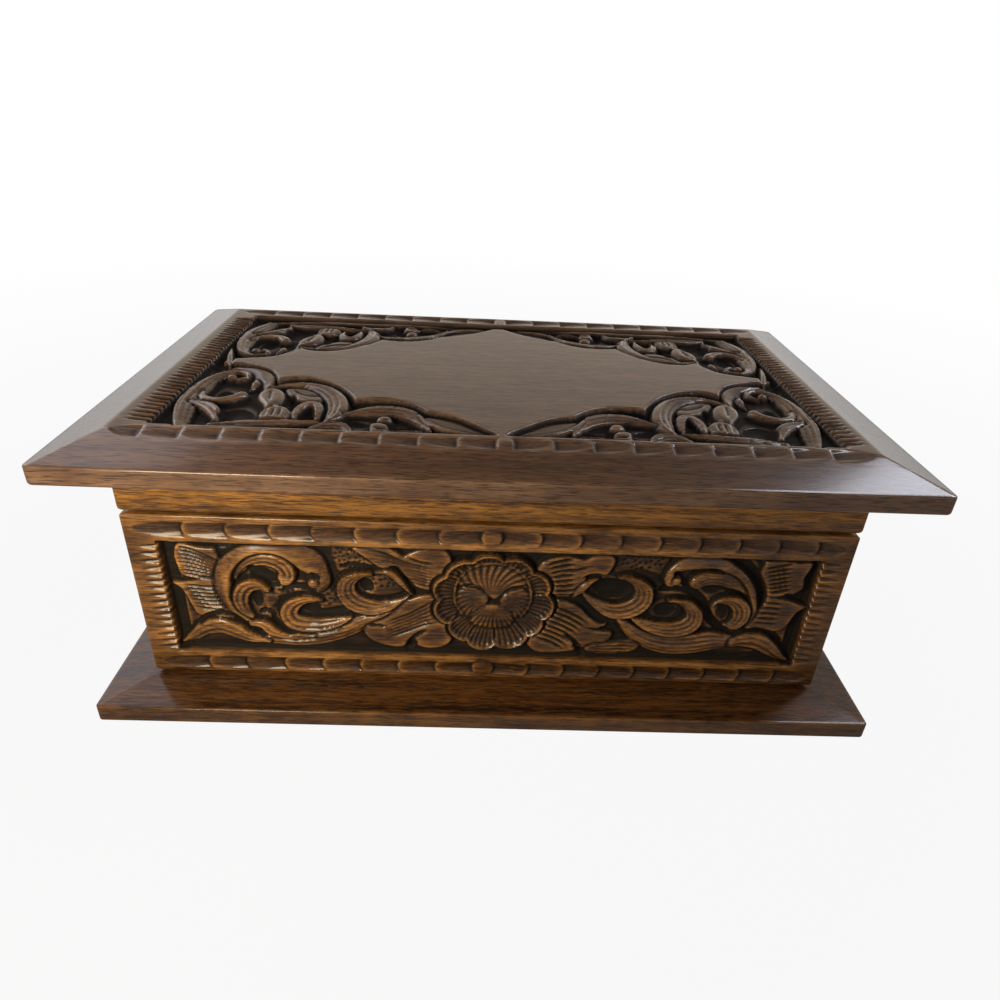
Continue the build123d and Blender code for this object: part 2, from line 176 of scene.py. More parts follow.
@dataclass
class Relief:
    """Heights over a flat face: 0 on the face, negative below it."""

    x: np.ndarray
    z: np.ndarray
    floor: float
    pitch: float
    h: np.ndarray = field(init=False)

    def __post_init__(self) -> None:
        """Starts with the untouched face."""
        self.h = np.zeros_like(self.x)

    def near(self, low: np.ndarray, high: np.ndarray) -> np.ndarray:
        """Returns the cells inside a rectangle."""
        inside = (self.x > low[0]) & (self.x < high[0]) & (self.z > low[1]) & (self.z < high[1])
        return np.nonzero(inside.ravel())[0]

    def offsets(self, cells: np.ndarray,
                origin: Sequence[float] = (0.0, 0.0)) -> tuple[np.ndarray, np.ndarray]:
        """Returns how far cells lie from a point, along the face and up it."""
        return self.x.ravel()[cells] - origin[0], self.z.ravel()[cells] - origin[1]

    def distance_to(self, curve: np.ndarray, cells: np.ndarray) -> tuple[np.ndarray, np.ndarray]:
        """Measures how far cells are from a curve.

        Args:
            curve: The curve's samples.
            cells: The cells to measure.

        Returns:
            The squared distances and the nearest samples.
        """
        px, pz = self.offsets(cells)
        best = np.full(len(cells), np.inf)
        nearest = np.zeros(len(cells), int)
        block = 64
        for start in range(0, len(curve), block):
            part = curve[start : start + block]
            squared = (px[:, None] - part[None, :, 0]) ** 2 + (pz[:, None] - part[None, :, 1]) ** 2
            k = squared.argmin(1)
            value = squared[np.arange(len(k)), k]
            better = value < best
            best[better] = value[better]
            nearest[better] = k[better] + start
        return best, nearest

    def follow(self, curve: np.ndarray, reach: float) -> tuple[np.ndarray, ...]:
        """Finds the cells beside a curve.

        Args:
            curve: The curve's samples.
            reach: How far to look.

        Returns:
            The cells, how far along the curve they lie from 0 to 1, their offset from it with the left
            side positive, and their distance from it.
        """
        cells = self.near(curve.min(0) - reach, curve.max(0) + reach)
        best, index = self.distance_to(curve, cells)
        keep = best < reach**2
        cells, index = cells[keep], index[keep]
        tangent = np.gradient(curve, axis=0)
        tangent /= np.hypot(*tangent.T)[:, None]
        dx, dz = self.offsets(cells, curve[index].T)
        tx, tz = tangent[index].T
        side = tx * dz - tz * dx
        ahead = dx * tx + dz * tz
        step = np.hypot(*(curve[1] - curve[0]))
        t = np.clip((index + ahead / step) / (len(curve) - 1), 0, 1)
        past_end = ((index == 0) & (ahead < 0)) | ((index == len(curve) - 1) & (ahead > 0))
        distance = np.where(past_end, np.hypot(dx, dz), np.abs(side))
        return cells, t, np.where(side < 0, -1.0, 1.0) * distance, distance

    def blend(self, cells: np.ndarray, level: np.ndarray, cover: np.ndarray) -> None:
        """Lays a new level over cells, each as far as it is covered."""
        flat = self.h.ravel()
        flat[cells] = flat[cells] * (1 - cover) + level * cover
        self.h = flat.reshape(self.h.shape)

    def lower(self, cells: np.ndarray, level: np.ndarray) -> None:
        """Brings cells down to a level, and never under the floor."""
        flat = self.h.ravel()
        flat[cells] = np.maximum(np.minimum(flat[cells], level), self.floor)
        self.h = flat.reshape(self.h.shape)

    def dig(self, cells: np.ndarray, depth: np.ndarray) -> None:
        """Takes a depth off cells."""
        self.lower(cells, self.h.ravel()[cells] - depth)

    def trench(self, cells: np.ndarray, beyond: np.ndarray, width: float, depth: float) -> None:
        """Cuts a small valley beside an edge.

        Args:
            cells: The cells near the edge.
            beyond: How far each lies outside it.
            width: The valley's width.
            depth: Its depth at the edge.
        """
        share = np.clip(1 - beyond / width, 0, 1) * (beyond > 0)
        self.dig(cells, depth * share**1.5)

    def cover(self, inside: np.ndarray) -> np.ndarray:
        """Returns how far cells are covered by a shape whose edge lies that far out."""
        return np.clip(inside / (EDGE_CELLS * self.pitch) + 0.5, 0, 1)

    def wear(self) -> np.ndarray:
        """Returns how much each point stands proud of its close surroundings, about 0 to 1."""
        age = AGEING
        close = self.h - blurred(self.h, age.close_reach / self.pitch)
        wide = self.h - blurred(self.h, age.wear_reach / self.pitch)
        handled = age.handled * np.clip(1 + self.h / age.handled_depth, 0, 1)
        worn = np.clip(age.wear_close * close + age.wear_wide * wide + handled + age.wear_bias, 0, 1)
        return blurred(worn * (1 - age.wear_lost_on_sides * self.steep()), MASK_BLUR)

    def hollow(self) -> np.ndarray:
        """Returns the painted shade and dark stain of each point, from how deep it lies among its
        surroundings and how steep it is, about 0 to 1.
        """
        age = AGEING
        close = blurred(self.h, age.close_reach / self.pitch) - self.h
        wide = blurred(self.h, age.hollow_reach / self.pitch) - self.h
        buried = np.clip((-age.buried_from - self.h) / age.buried_over, 0, 1)
        # painted shade: darker in narrow and wide hollows, on deep grounds and on the steep sides of cuts
        dark = age.hollow_close * close + age.hollow_wide * wide + age.hollow_buried * buried
        return blurred(np.clip(dark + age.hollow_on_sides * self.steep(), 0, 1), MASK_BLUR)

    def steep(self) -> np.ndarray:
        """Returns how steep each point lies, 1 on the sides of deep cuts."""
        fall_z, fall_x = np.gradient(self.h, self.pitch)
        return np.clip(np.hypot(fall_x, fall_z) - AGEING.steep_from, 0, 1)


def between_beads(phase: np.ndarray, power: float) -> np.ndarray:
    """Returns the depth of the grooves between round beads, 1 at whole multiples of pi."""
    return 1 - np.abs(np.sin(phase)) ** power


@dataclass(frozen=True)
class Cut:
    """One stroke of the carving tools."""

    def carve(self, relief: Relief) -> None:
        """Cuts the stroke into a relief."""
        raise NotImplementedError

    def mirrored(self, axis_x: float | None = None, axis_z: float | None = None,
                 squeeze: float = 1.0) -> "Cut":
        """Mirrors the stroke.

        Args:
            axis_x: The upright axis to mirror about, if any.
            axis_z: The level axis to mirror about, if any.
            squeeze: How far distances from the level axis are kept.

        Returns:
            The mirrored stroke.
        """
        def moved(value: tuple) -> tuple:
            """Mirrors each point in nested tuples."""
            if isinstance(value[0], (tuple, list)):
                return tuple(moved(v) for v in value)
            x, z = value
            across = x if axis_x is None else 2 * axis_x - x
            return across, z if axis_z is None else axis_z - squeeze * (z - axis_z)

        changes: dict[str, object] = {}
        odd = (axis_x is None) != (axis_z is None)
        for item in fields(self):
            value = getattr(self, item.name)
            if item.name in PLACES:
                changes[item.name] = moved(value)
            elif item.name in HANDED and odd:
                changes[item.name] = -value
        return replace(self, **changes)


# Fields of cuts that hold places, and those that change sign in a mirror
PLACES = ("points", "outline", "centre", "first", "last", "nose", "stop", "peak")
HANDED = ("ridge", "turn")
# Reeds fade in over this share of a strand, and need this much half width each
REED_FADE = 0.06
REED_ROOM = 0.55


@dataclass(frozen=True)
class Strand(Cut):
    """A raised strand, such as the back of a scroll. Its left side is the positive one."""

    points: Curve
    half: tuple[float, ...]
    crest: tuple[float, ...]
    crown: float = 0.8
    ridge: float = 0.0
    reeds: int = 0
    reed_depth: float = 0.85
    moat: float = 1.0
    moat_depth: float = 1.3

    def carve(self, relief: Relief) -> None:
        """Raises the strand out of a small valley, with reeds along it."""
        curve = smooth_curve(self.points)
        cells, t, offset, distance = relief.follow(curve, max(self.half) + self.moat + 1)
        half = np.maximum(along(self.half, t), 0.05)
        v = np.clip(offset / half, -1, 1)
        u = np.where(v > self.ridge, (v - self.ridge) / (1 - self.ridge), (self.ridge - v) / (1 + self.ridge))
        level = along(self.crest, t) - self.crown * u**1.4
        if self.reeds:
            groove = between_beads(np.pi * self.reeds * (v + 1) / 2, 0.75)
            fade = np.clip(np.minimum(t, 1 - t) / REED_FADE, 0, 1)
            room = np.clip(half / self.reeds / REED_ROOM, 0, 1)
            level -= self.reed_depth * groove * fade * room
        inside = half - distance
        relief.trench(cells, -inside, self.moat, self.moat_depth)
        relief.blend(cells, np.minimum(level, 0), relief.cover(inside))


@dataclass(frozen=True)
class Patch(Cut):
    """A leaf, lobe or ground bounded by an outline, rolled over along its edge."""

    outline: tuple
    level: float
    peak: Point = (0.0, 0.0)
    fall: float = 0.0
    arcs: bool = False
    roll: float = 0.8
    roll_width: float = 1.6
    moat: float = 0.9
    moat_depth: float = 0.6

    def carve(self, relief: Relief) -> None:
        """Lays the patch at its level inside a small valley."""
        if self.arcs:
            curve = np.concatenate([smooth_curve(arc) for arc in self.outline])
        else:
            curve = smooth_curve(self.outline + self.outline[:1])
        margin = self.moat + 1
        cells = relief.near(curve.min(0) - margin, curve.max(0) + margin)
        squared, _ = relief.distance_to(curve, cells)
        px, pz = relief.offsets(cells)
        inside = np.zeros(len(cells), bool)
        for (x0, z0), (x1, z1) in zip(curve, np.roll(curve, -1, axis=0)):
            if z0 != z1:
                inside ^= ((z0 > pz) != (z1 > pz)) & (px < (x1 - x0) * (pz - z0) / (z1 - z0) + x0)
        signed = np.sqrt(squared) * np.where(inside, 1, -1)
        level = self.level - self.roll * np.clip(1 - signed / self.roll_width, 0, 1) ** 2
        level -= self.fall * np.hypot(px - self.peak[0], pz - self.peak[1])
        relief.trench(cells, -signed, self.moat, self.moat_depth)
        relief.blend(cells, level, relief.cover(signed))


@dataclass(frozen=True)
class Groove(Cut):
    """A groove that tapers to both ends."""

    points: Curve
    half: float = 0.7
    depth: float = 0.7
    taper: float = 0.25
    end_share: float = 0.4

    def carve(self, relief: Relief) -> None:
        """Cuts the groove."""
        cells, t, _, distance = relief.follow(smooth_curve(self.points), self.half + 0.5)
        ends = np.clip(np.minimum(t, 1 - t) / self.taper, 0, 1) ** 0.7
        half = np.maximum(self.half * (self.end_share + (1 - self.end_share) * ends), 0.1)
        relief.dig(cells, self.depth * ends * np.clip(1 - (distance / half) ** 2, 0, 1))


@dataclass(frozen=True)
class Fan(Cut):
    """Grooves spread evenly between two guide curves, like the veins of a leaf."""

    first: Curve
    last: Curve
    count: int
    half: float = 0.6
    depth: float = 0.6
    samples: int = 8

    def carve(self, relief: Relief) -> None:
        """Cuts each groove of the fan."""
        guides = []
        for guide in (self.first, self.last):
            curve = smooth_curve(guide)
            guides.append(curve[np.linspace(0, len(curve) - 1, self.samples).astype(int)])
        for share in np.linspace(0, 1, self.count):
            between = guides[0] * (1 - share) + guides[1] * share
            Groove(tuple(map(tuple, between)), self.half, self.depth).carve(relief)


@dataclass(frozen=True)
class Pit(Cut):
    """An oval hollow."""

    centre: Point
    radii: Point
    turn: float
    depth: float
    power: float = 2.0
    wall: float = 0.35

    def carve(self, relief: Relief) -> None:
        """Cuts the hollow."""
        reach = max(self.radii) * 1.05
        cells = relief.near(np.subtract(self.centre, reach), np.add(self.centre, reach))
        angle = math.radians(self.turn)
        dx, dz = relief.offsets(cells, self.centre)
        u = (dx * math.cos(angle) + dz * math.sin(angle)) / self.radii[0]
        v = (dz * math.cos(angle) - dx * math.sin(angle)) / self.radii[1]
        share = np.clip(1 - (u * u + v * v) ** (self.power / 2), 0, 1) ** self.wall
        relief.lower(cells, relief.h.ravel()[cells] * (1 - share) + self.depth * share)


@dataclass(frozen=True)
class Knob(Cut):
    """A round raised boss."""

    centre: Point
    radius: float
    crest: float
    dome: float = 1.0
    moat: float = 0.8
    moat_depth: float = 0.6

    def carve(self, relief: Relief) -> None:
        """Raises the boss."""
        reach = self.radius + self.moat + 0.5
        cells = relief.near(np.subtract(self.centre, reach), np.add(self.centre, reach))
        d = np.hypot(*relief.offsets(cells, self.centre))
        relief.trench(cells, d - self.radius, self.moat, self.moat_depth)
        level = self.crest - self.dome * np.clip(d / self.radius, 0, 1) ** 2
        relief.blend(cells, level, relief.cover(self.radius - d))


# A scoop reaches its full width at this share of its length
FULL_WIDTH_AT = 0.7
# Its depth at the nose and at its sides, as shares of the depth at the middle of its stop
NOSE_DEPTH = 0.22
SIDE_DEPTH = 0.35


@dataclass(frozen=True)
class GougeCut(Cut):
    """One scoop of a border: shallow and pointed at its nose, deep at its upright stop."""

    nose: Point
    stop: Point
    half: float
    depth: float
    bow: float = 0.8
    point: float = 0.8

    def carve(self, relief: Relief) -> None:
        """Scoops from the nose to the stop."""
        nose, stop = np.asarray(self.nose), np.asarray(self.stop)
        length = float(np.hypot(*(stop - nose)))
        tx, tz = (stop - nose) / length
        reach = self.half + abs(self.bow) + 0.5
        cells = relief.near(np.minimum(nose, stop) - reach, np.maximum(nose, stop) + reach)
        dx, dz = relief.offsets(cells, nose)
        t = dx * tx + dz * tz
        v = (tx * dz - tz * dx) / self.half
        opening = np.clip(t / (FULL_WIDTH_AT * length), 0, 1)
        width = (opening * (2 - opening)) ** self.point
        end = length + self.bow * v**2
        inside = np.minimum((width - np.abs(v)) * self.half, np.minimum(t, end - t))
        bowl = np.clip(1 - (v / np.maximum(width, 0.05)) ** 2, 0, 1)
        lengthways = NOSE_DEPTH + (1 - NOSE_DEPTH) * np.clip(t / length, 0, 1.1) ** 1.3
        level = -self.depth * lengthways * (SIDE_DEPTH + (1 - SIDE_DEPTH) * bowl)
        cover = relief.cover(inside)
        before = relief.h.ravel()[cells]
        relief.lower(cells, before * (1 - cover) + np.minimum(level, before) * cover)


@dataclass(frozen=True)
class Stipple(Cut):
    """Punch marks scattered over sunken ground."""

    centre: Point
    radii: Point
    count: int
    seed: int
    mark: float = 0.72
    depth: float = 0.9
    ground: float = -2.0
    spacing: float = 1.7
    around: float = 1.2
    tries: int = 60

    def carve(self, relief: Relief) -> None:
        """Punches each mark that falls on the ground."""
        draws = np.random.default_rng(self.seed)
        marks: list[np.ndarray] = []
        for _ in range(self.tries * self.count):
            angle, reach = draws.uniform(0, 2 * np.pi), np.sqrt(draws.uniform())
            spot = np.array(self.centre) + np.array(self.radii) * reach * (np.cos(angle), np.sin(angle))
            if len(marks) < self.count and all(np.hypot(*(spot - other)) > self.spacing for other in marks):
                marks.append(spot)
        for spot in marks:
            cells = relief.near(spot - self.around, spot + self.around)
            if relief.h.ravel()[cells].mean() > self.ground:
                continue
            d = np.hypot(*relief.offsets(cells, spot))
            relief.dig(cells, self.depth * np.clip(1 - (d / self.mark) ** 2, 0, 1))


@dataclass(frozen=True)
class Rosette(Cut):
    """The lobed flower of the front and the sides, with a four-petalled flower in its eye."""

    centre: Point = (0.6, 48.4)
    reach: float = 27.0
    cusps: Curve = ((20.6, 41), (21.6, 53.3), (15.6, 63), (4.3, 68.4), (-7.7, 67.6), (-18, 60.3),
                    (-20.5, 49), (-16.5, 37.8), (-9.5, 29.5), (2, 27.5), (15, 32.3))
    peaks: Curve = ((24.8, 48.5), (22.2, 58.8), (10.6, 69.4), (-1, 71.2), (-14.6, 66.4), (-23.2, 54.4),
                    (-22.6, 43.5), (-16.4, 33), (-4, 24.8), (9, 26), (20.6, 36.6))
    veins: int = 6
    vein_depth: float = 0.75
    rim: float = 1.2
    cusp_share: float = 0.07
    cusp_depth: float = 0.9
    moat: float = 1.8
    moat_depth: float = 2.2
    eye: Point = (0.4, 51.0)
    eye_radius: float = 14.6
    open_below: float = 41.0
    ring_profile: Curve = ((0, -0.9), (0.4, -0.1), (1, 0), (1.7, -1), (3, -1.9), (6, -2.6), (9, -2.8))
    dish_profile: Curve = ((-0.8, -2), (-0.1, -1.75), (0.6, -2.7), (4, -2.4))

    def carve(self, relief: Relief) -> None:
        """Cuts the ring of petals, the dish of the eye and its flower."""
        cells = relief.near(np.array(self.centre) - self.reach, np.array(self.centre) + self.reach)
        inward, s = self.lobes(*relief.offsets(cells, self.centre))
        petal = np.interp(inward, *zip(*self.ring_profile))
        inside_rim = np.clip((inward - self.rim) / self.rim, 0, 1)
        petal -= self.vein_depth * between_beads(np.pi * self.veins * s, 0.8) * inside_rim
        cusp = np.clip(1 - np.minimum(s, 1 - s) / self.cusp_share, 0, 1)
        petal -= self.cusp_depth * cusp * np.clip(inward / 4, 0.4, 1)
        from_eye = np.hypot(*relief.offsets(cells, self.eye))
        dish = np.interp(self.eye_radius - from_eye, *zip(*self.dish_profile))
        outside = (from_eye > self.eye_radius + 0.8) | (relief.offsets(cells)[1] < self.open_below)
        relief.trench(cells, -inward, self.moat, self.moat_depth)
        relief.blend(cells, np.where(outside, petal, dish), relief.cover(inward))
        for cut in self.flower():
            cut.carve(relief)

    def lobes(self, dx: np.ndarray, dz: np.ndarray) -> tuple[np.ndarray, np.ndarray]:
        """Finds places on the lobed outline.

        Args:
            dx: How far right of the centre each place lies.
            dz: How far above it.

        Returns:
            How far each place lies inside the outline, and where across its lobe from 0 to 1.
        """
        arms, tips = (np.asarray(places) - self.centre for places in (self.cusps, self.peaks))
        count = len(arms)
        starts = np.unwrap(np.arctan2(arms[:, 1], arms[:, 0]))
        turn = (np.arctan2(dz, dx) - starts[0]) % (2 * np.pi) + starts[0]
        bounds = np.append(starts, starts[0] + 2 * np.pi)
        lobe = np.clip(np.searchsorted(bounds, turn, side="right") - 1, 0, count - 1)
        s = (turn - bounds[lobe]) / (bounds[lobe + 1] - bounds[lobe])
        low, high = np.hypot(*arms.T), np.hypot(*tips.T)
        chord = low[lobe] * (1 - s) + low[(lobe + 1) % count] * s
        bulge = high[lobe] - (low[lobe] + low[(lobe + 1) % count]) / 2
        return chord + bulge * np.sin(np.pi * s) ** 0.6 - np.hypot(dx, dz), s

    def flower(self) -> list[Cut]:
        """Returns the four petals of the eye."""
        return [
            Petal((1.0, 50.6), ((1, 50), (-4, 52), (-9, 53.4), (-13.4, 55), (-10.4, 61.4), (-5, 64.6),
                (0.4, 65.6), (5.8, 64.6), (11, 61.2), (14, 55), (9, 53.4), (5, 52)), -0.6, 0.12, 28, 0.035),
            Petal((-0.6, 50.4), ((-0.9, 50), (-3.4, 53.4), (-6.8, 55.5), (-10.4, 55.4), (-13.4, 52.6),
                (-13.9, 48.6), (-12.4, 44), (-8.9, 40), (-6, 40.6), (-3, 45.6)), -0.3, 0.15, 34, -0.04),
            Petal((2.8, 50.2), ((2.9, 49.8), (5.2, 53.2), (8.4, 55.1), (12.2, 54.9), (14.7, 52),
                (14.8, 48.4), (13.2, 44), (10, 40.4), (7, 41), (4.4, 45.6)), -0.3, 0.15, 34, 0.04),
            Petal((0.9, 49.8), ((0.9, 47.9), (-2.4, 47.2), (-5.2, 45), (-7.8, 41), (-7.4, 36.6),
                (0.8, 34.6), (8.4, 36.6), (9, 41), (6.4, 45), (4.2, 47.1)), -0.1, 0.15, 44, 0.0),
            Groove(((0.2, 50.2), (-2.8, 53.3), (-6.4, 55.6), (-10.2, 55.6), (-13.4, 53)), 0.8, 0.9, 0.4),
            Groove(((2, 50.2), (4.6, 53.1), (8, 55.3), (11.8, 55.1), (14.6, 52.4)), 0.8, 0.9, 0.4),
            Pit((1, 49.5), (1.4, 1.2), 0, -2.2),
        ]


@dataclass(frozen=True)
class Petal(Cut):
    """A domed petal, smooth at its heel and veined towards its tip."""

    centre: Point
    outline: Curve
    level: float
    fall: float
    veins: int
    turn: float
    vein_depth: float = 0.75
    heel: float = 3.6
    heel_fade: float = 2.5

    def carve(self, relief: Relief) -> None:
        """Lays the petal and cuts veins that spread from its heel."""
        Patch(self.outline, self.level, self.centre, self.fall, roll=0.6, roll_width=1.4, moat=0.35,
              moat_depth=0.7).carve(relief)
        curve = smooth_curve(self.outline + self.outline[:1])
        cells = relief.near(curve.min(0), curve.max(0))
        dx, dz = relief.offsets(cells, self.centre)
        away = np.hypot(dx, dz)
        angle = np.arctan2(dz, dx) + self.turn * away
        level = self.level - self.fall * away
        on_petal = np.abs(relief.h.ravel()[cells] - level) < 0.7
        past_heel = np.clip((away - self.heel) / self.heel_fade, 0, 1)
        relief.dig(cells, self.vein_depth * between_beads(self.veins * angle / 2, 0.8) * past_heel * on_petal)


# Ornament: which strokes each face carries, in millimetres on the box's own axes

# The deepest that any cut goes, and the level of a sunk field
FLOOR = -4.8
GROUND = -3.4
# Weights that soften the tool marks
SOFTENING = np.array([0.14, 0.72, 0.14])
# How far the noses of wedge cuts wander, and how fast from one to the next
WEDGE_WANDER = 0.5
WEDGE_TURN = 5.1


def carved(x: np.ndarray, z: np.ndarray, pitch: float, cuts: Iterable[Cut]) -> Relief:
    """Carves strokes into a face, one after another.

    Args:
        x: The cells' places along the face.
        z: Their places up or across it.
        pitch: The cells' size.
        cuts: The strokes.

    Returns:
        The carved face.
    """
    relief = Relief(x, z, FLOOR, pitch)
    for cut in cuts:
        cut.carve(relief)
    relief.h = filtered(relief.h, SOFTENING)
    return relief


@dataclass(frozen=True)
class Panel(Cut):
    """A cut that works on a rectangle."""

    low: Point
    high: Point

    def inside(self, relief: Relief) -> np.ndarray:
        """Returns how far each cell is covered by the rectangle."""
        across = np.minimum(relief.x - self.low[0], self.high[0] - relief.x)
        return relief.cover(np.minimum(across, np.minimum(relief.z - self.low[1], self.high[1] - relief.z)))


@dataclass(frozen=True)
class SunkField(Panel):
    """A rectangle sunk to an even ground."""

    level: float = GROUND

    def carve(self, relief: Relief) -> None:
        """Sinks the rectangle."""
        cover = self.inside(relief)
        relief.h = relief.h * (1 - cover) + self.level * cover


@dataclass(frozen=True)
class PlainFrame(Panel):
    """The flat frame round a sunk field, left at the face's own height."""

    def carve(self, relief: Relief) -> None:
        """Brings everything outside the field back to the face."""
        relief.h = relief.h * self.inside(relief)


@dataclass(frozen=True)
class GougeRow:
    """A row of scoops, each with its stop towards the middle of the row."""

    level: float
    first_stop: float
    pitch: float
    outer_end: float
    half: float = 3.1
    depth: float = 1.7
    bow: float = 1.6
    point: float = 0.5
    reach: float = 1.25

    def cuts(self) -> list[Cut]:
        """Returns the row's scoops, from its first stop out to its end."""
        way = 1 if self.outer_end > self.first_stop else -1
        count = math.ceil(abs(self.outer_end - self.first_stop) / self.pitch)
        row: list[Cut] = []
        for k in range(count):
            stop = self.first_stop + way * self.pitch * k
            nose = stop + way * min(self.reach * self.pitch, abs(self.outer_end - stop))
            if abs(nose - stop) > self.half:
                row.append(GougeCut((nose, self.level), (stop, self.level), self.half, self.depth, self.bow,
                                    self.point))
        return row


@dataclass(frozen=True)
class WedgeColumn:
    """A column of narrow wedge cuts, side by side up a face."""

    nose: float
    stop: float
    first: float
    pitch: float
    count: int
    half: float = 1.0
    depth: float = 1.6

    def cuts(self) -> list[Cut]:
        """Returns the column's cuts, each a little off the level."""
        column: list[Cut] = []
        for k in range(self.count):
            level = self.first + self.pitch * k
            nose = (self.nose, level + WEDGE_WANDER * math.sin(WEDGE_TURN * k))
            column.append(GougeCut(nose, (self.stop, level), self.half, self.depth, 0.0))
        return column


def with_mirror(cuts: Sequence[Cut], axis_x: float) -> list[Cut]:
    """Returns strokes, then their mirror images about an upright axis."""
    return [*cuts, *(cut.mirrored(axis_x=axis_x) for cut in cuts)]


@dataclass(frozen=True)
class WallOrnament:
    """The carving of a wall: a motif in a sunk field, framed by borders. Its end is half its length."""

    low: Point
    high: Point
    end: float

    def cuts(self) -> list[Cut]:
        """Returns every stroke of the wall in order."""
        sunk, plain = SunkField(self.low, self.high), PlainFrame(self.low, self.high)
        return [sunk, *self.motif(), plain, *self.borders()]

    def motif(self) -> list[Cut]:
        """Returns the strokes inside the field."""
        raise NotImplementedError

    def borders(self) -> list[Cut]:
        """Returns the strokes round the field."""
        raise NotImplementedError


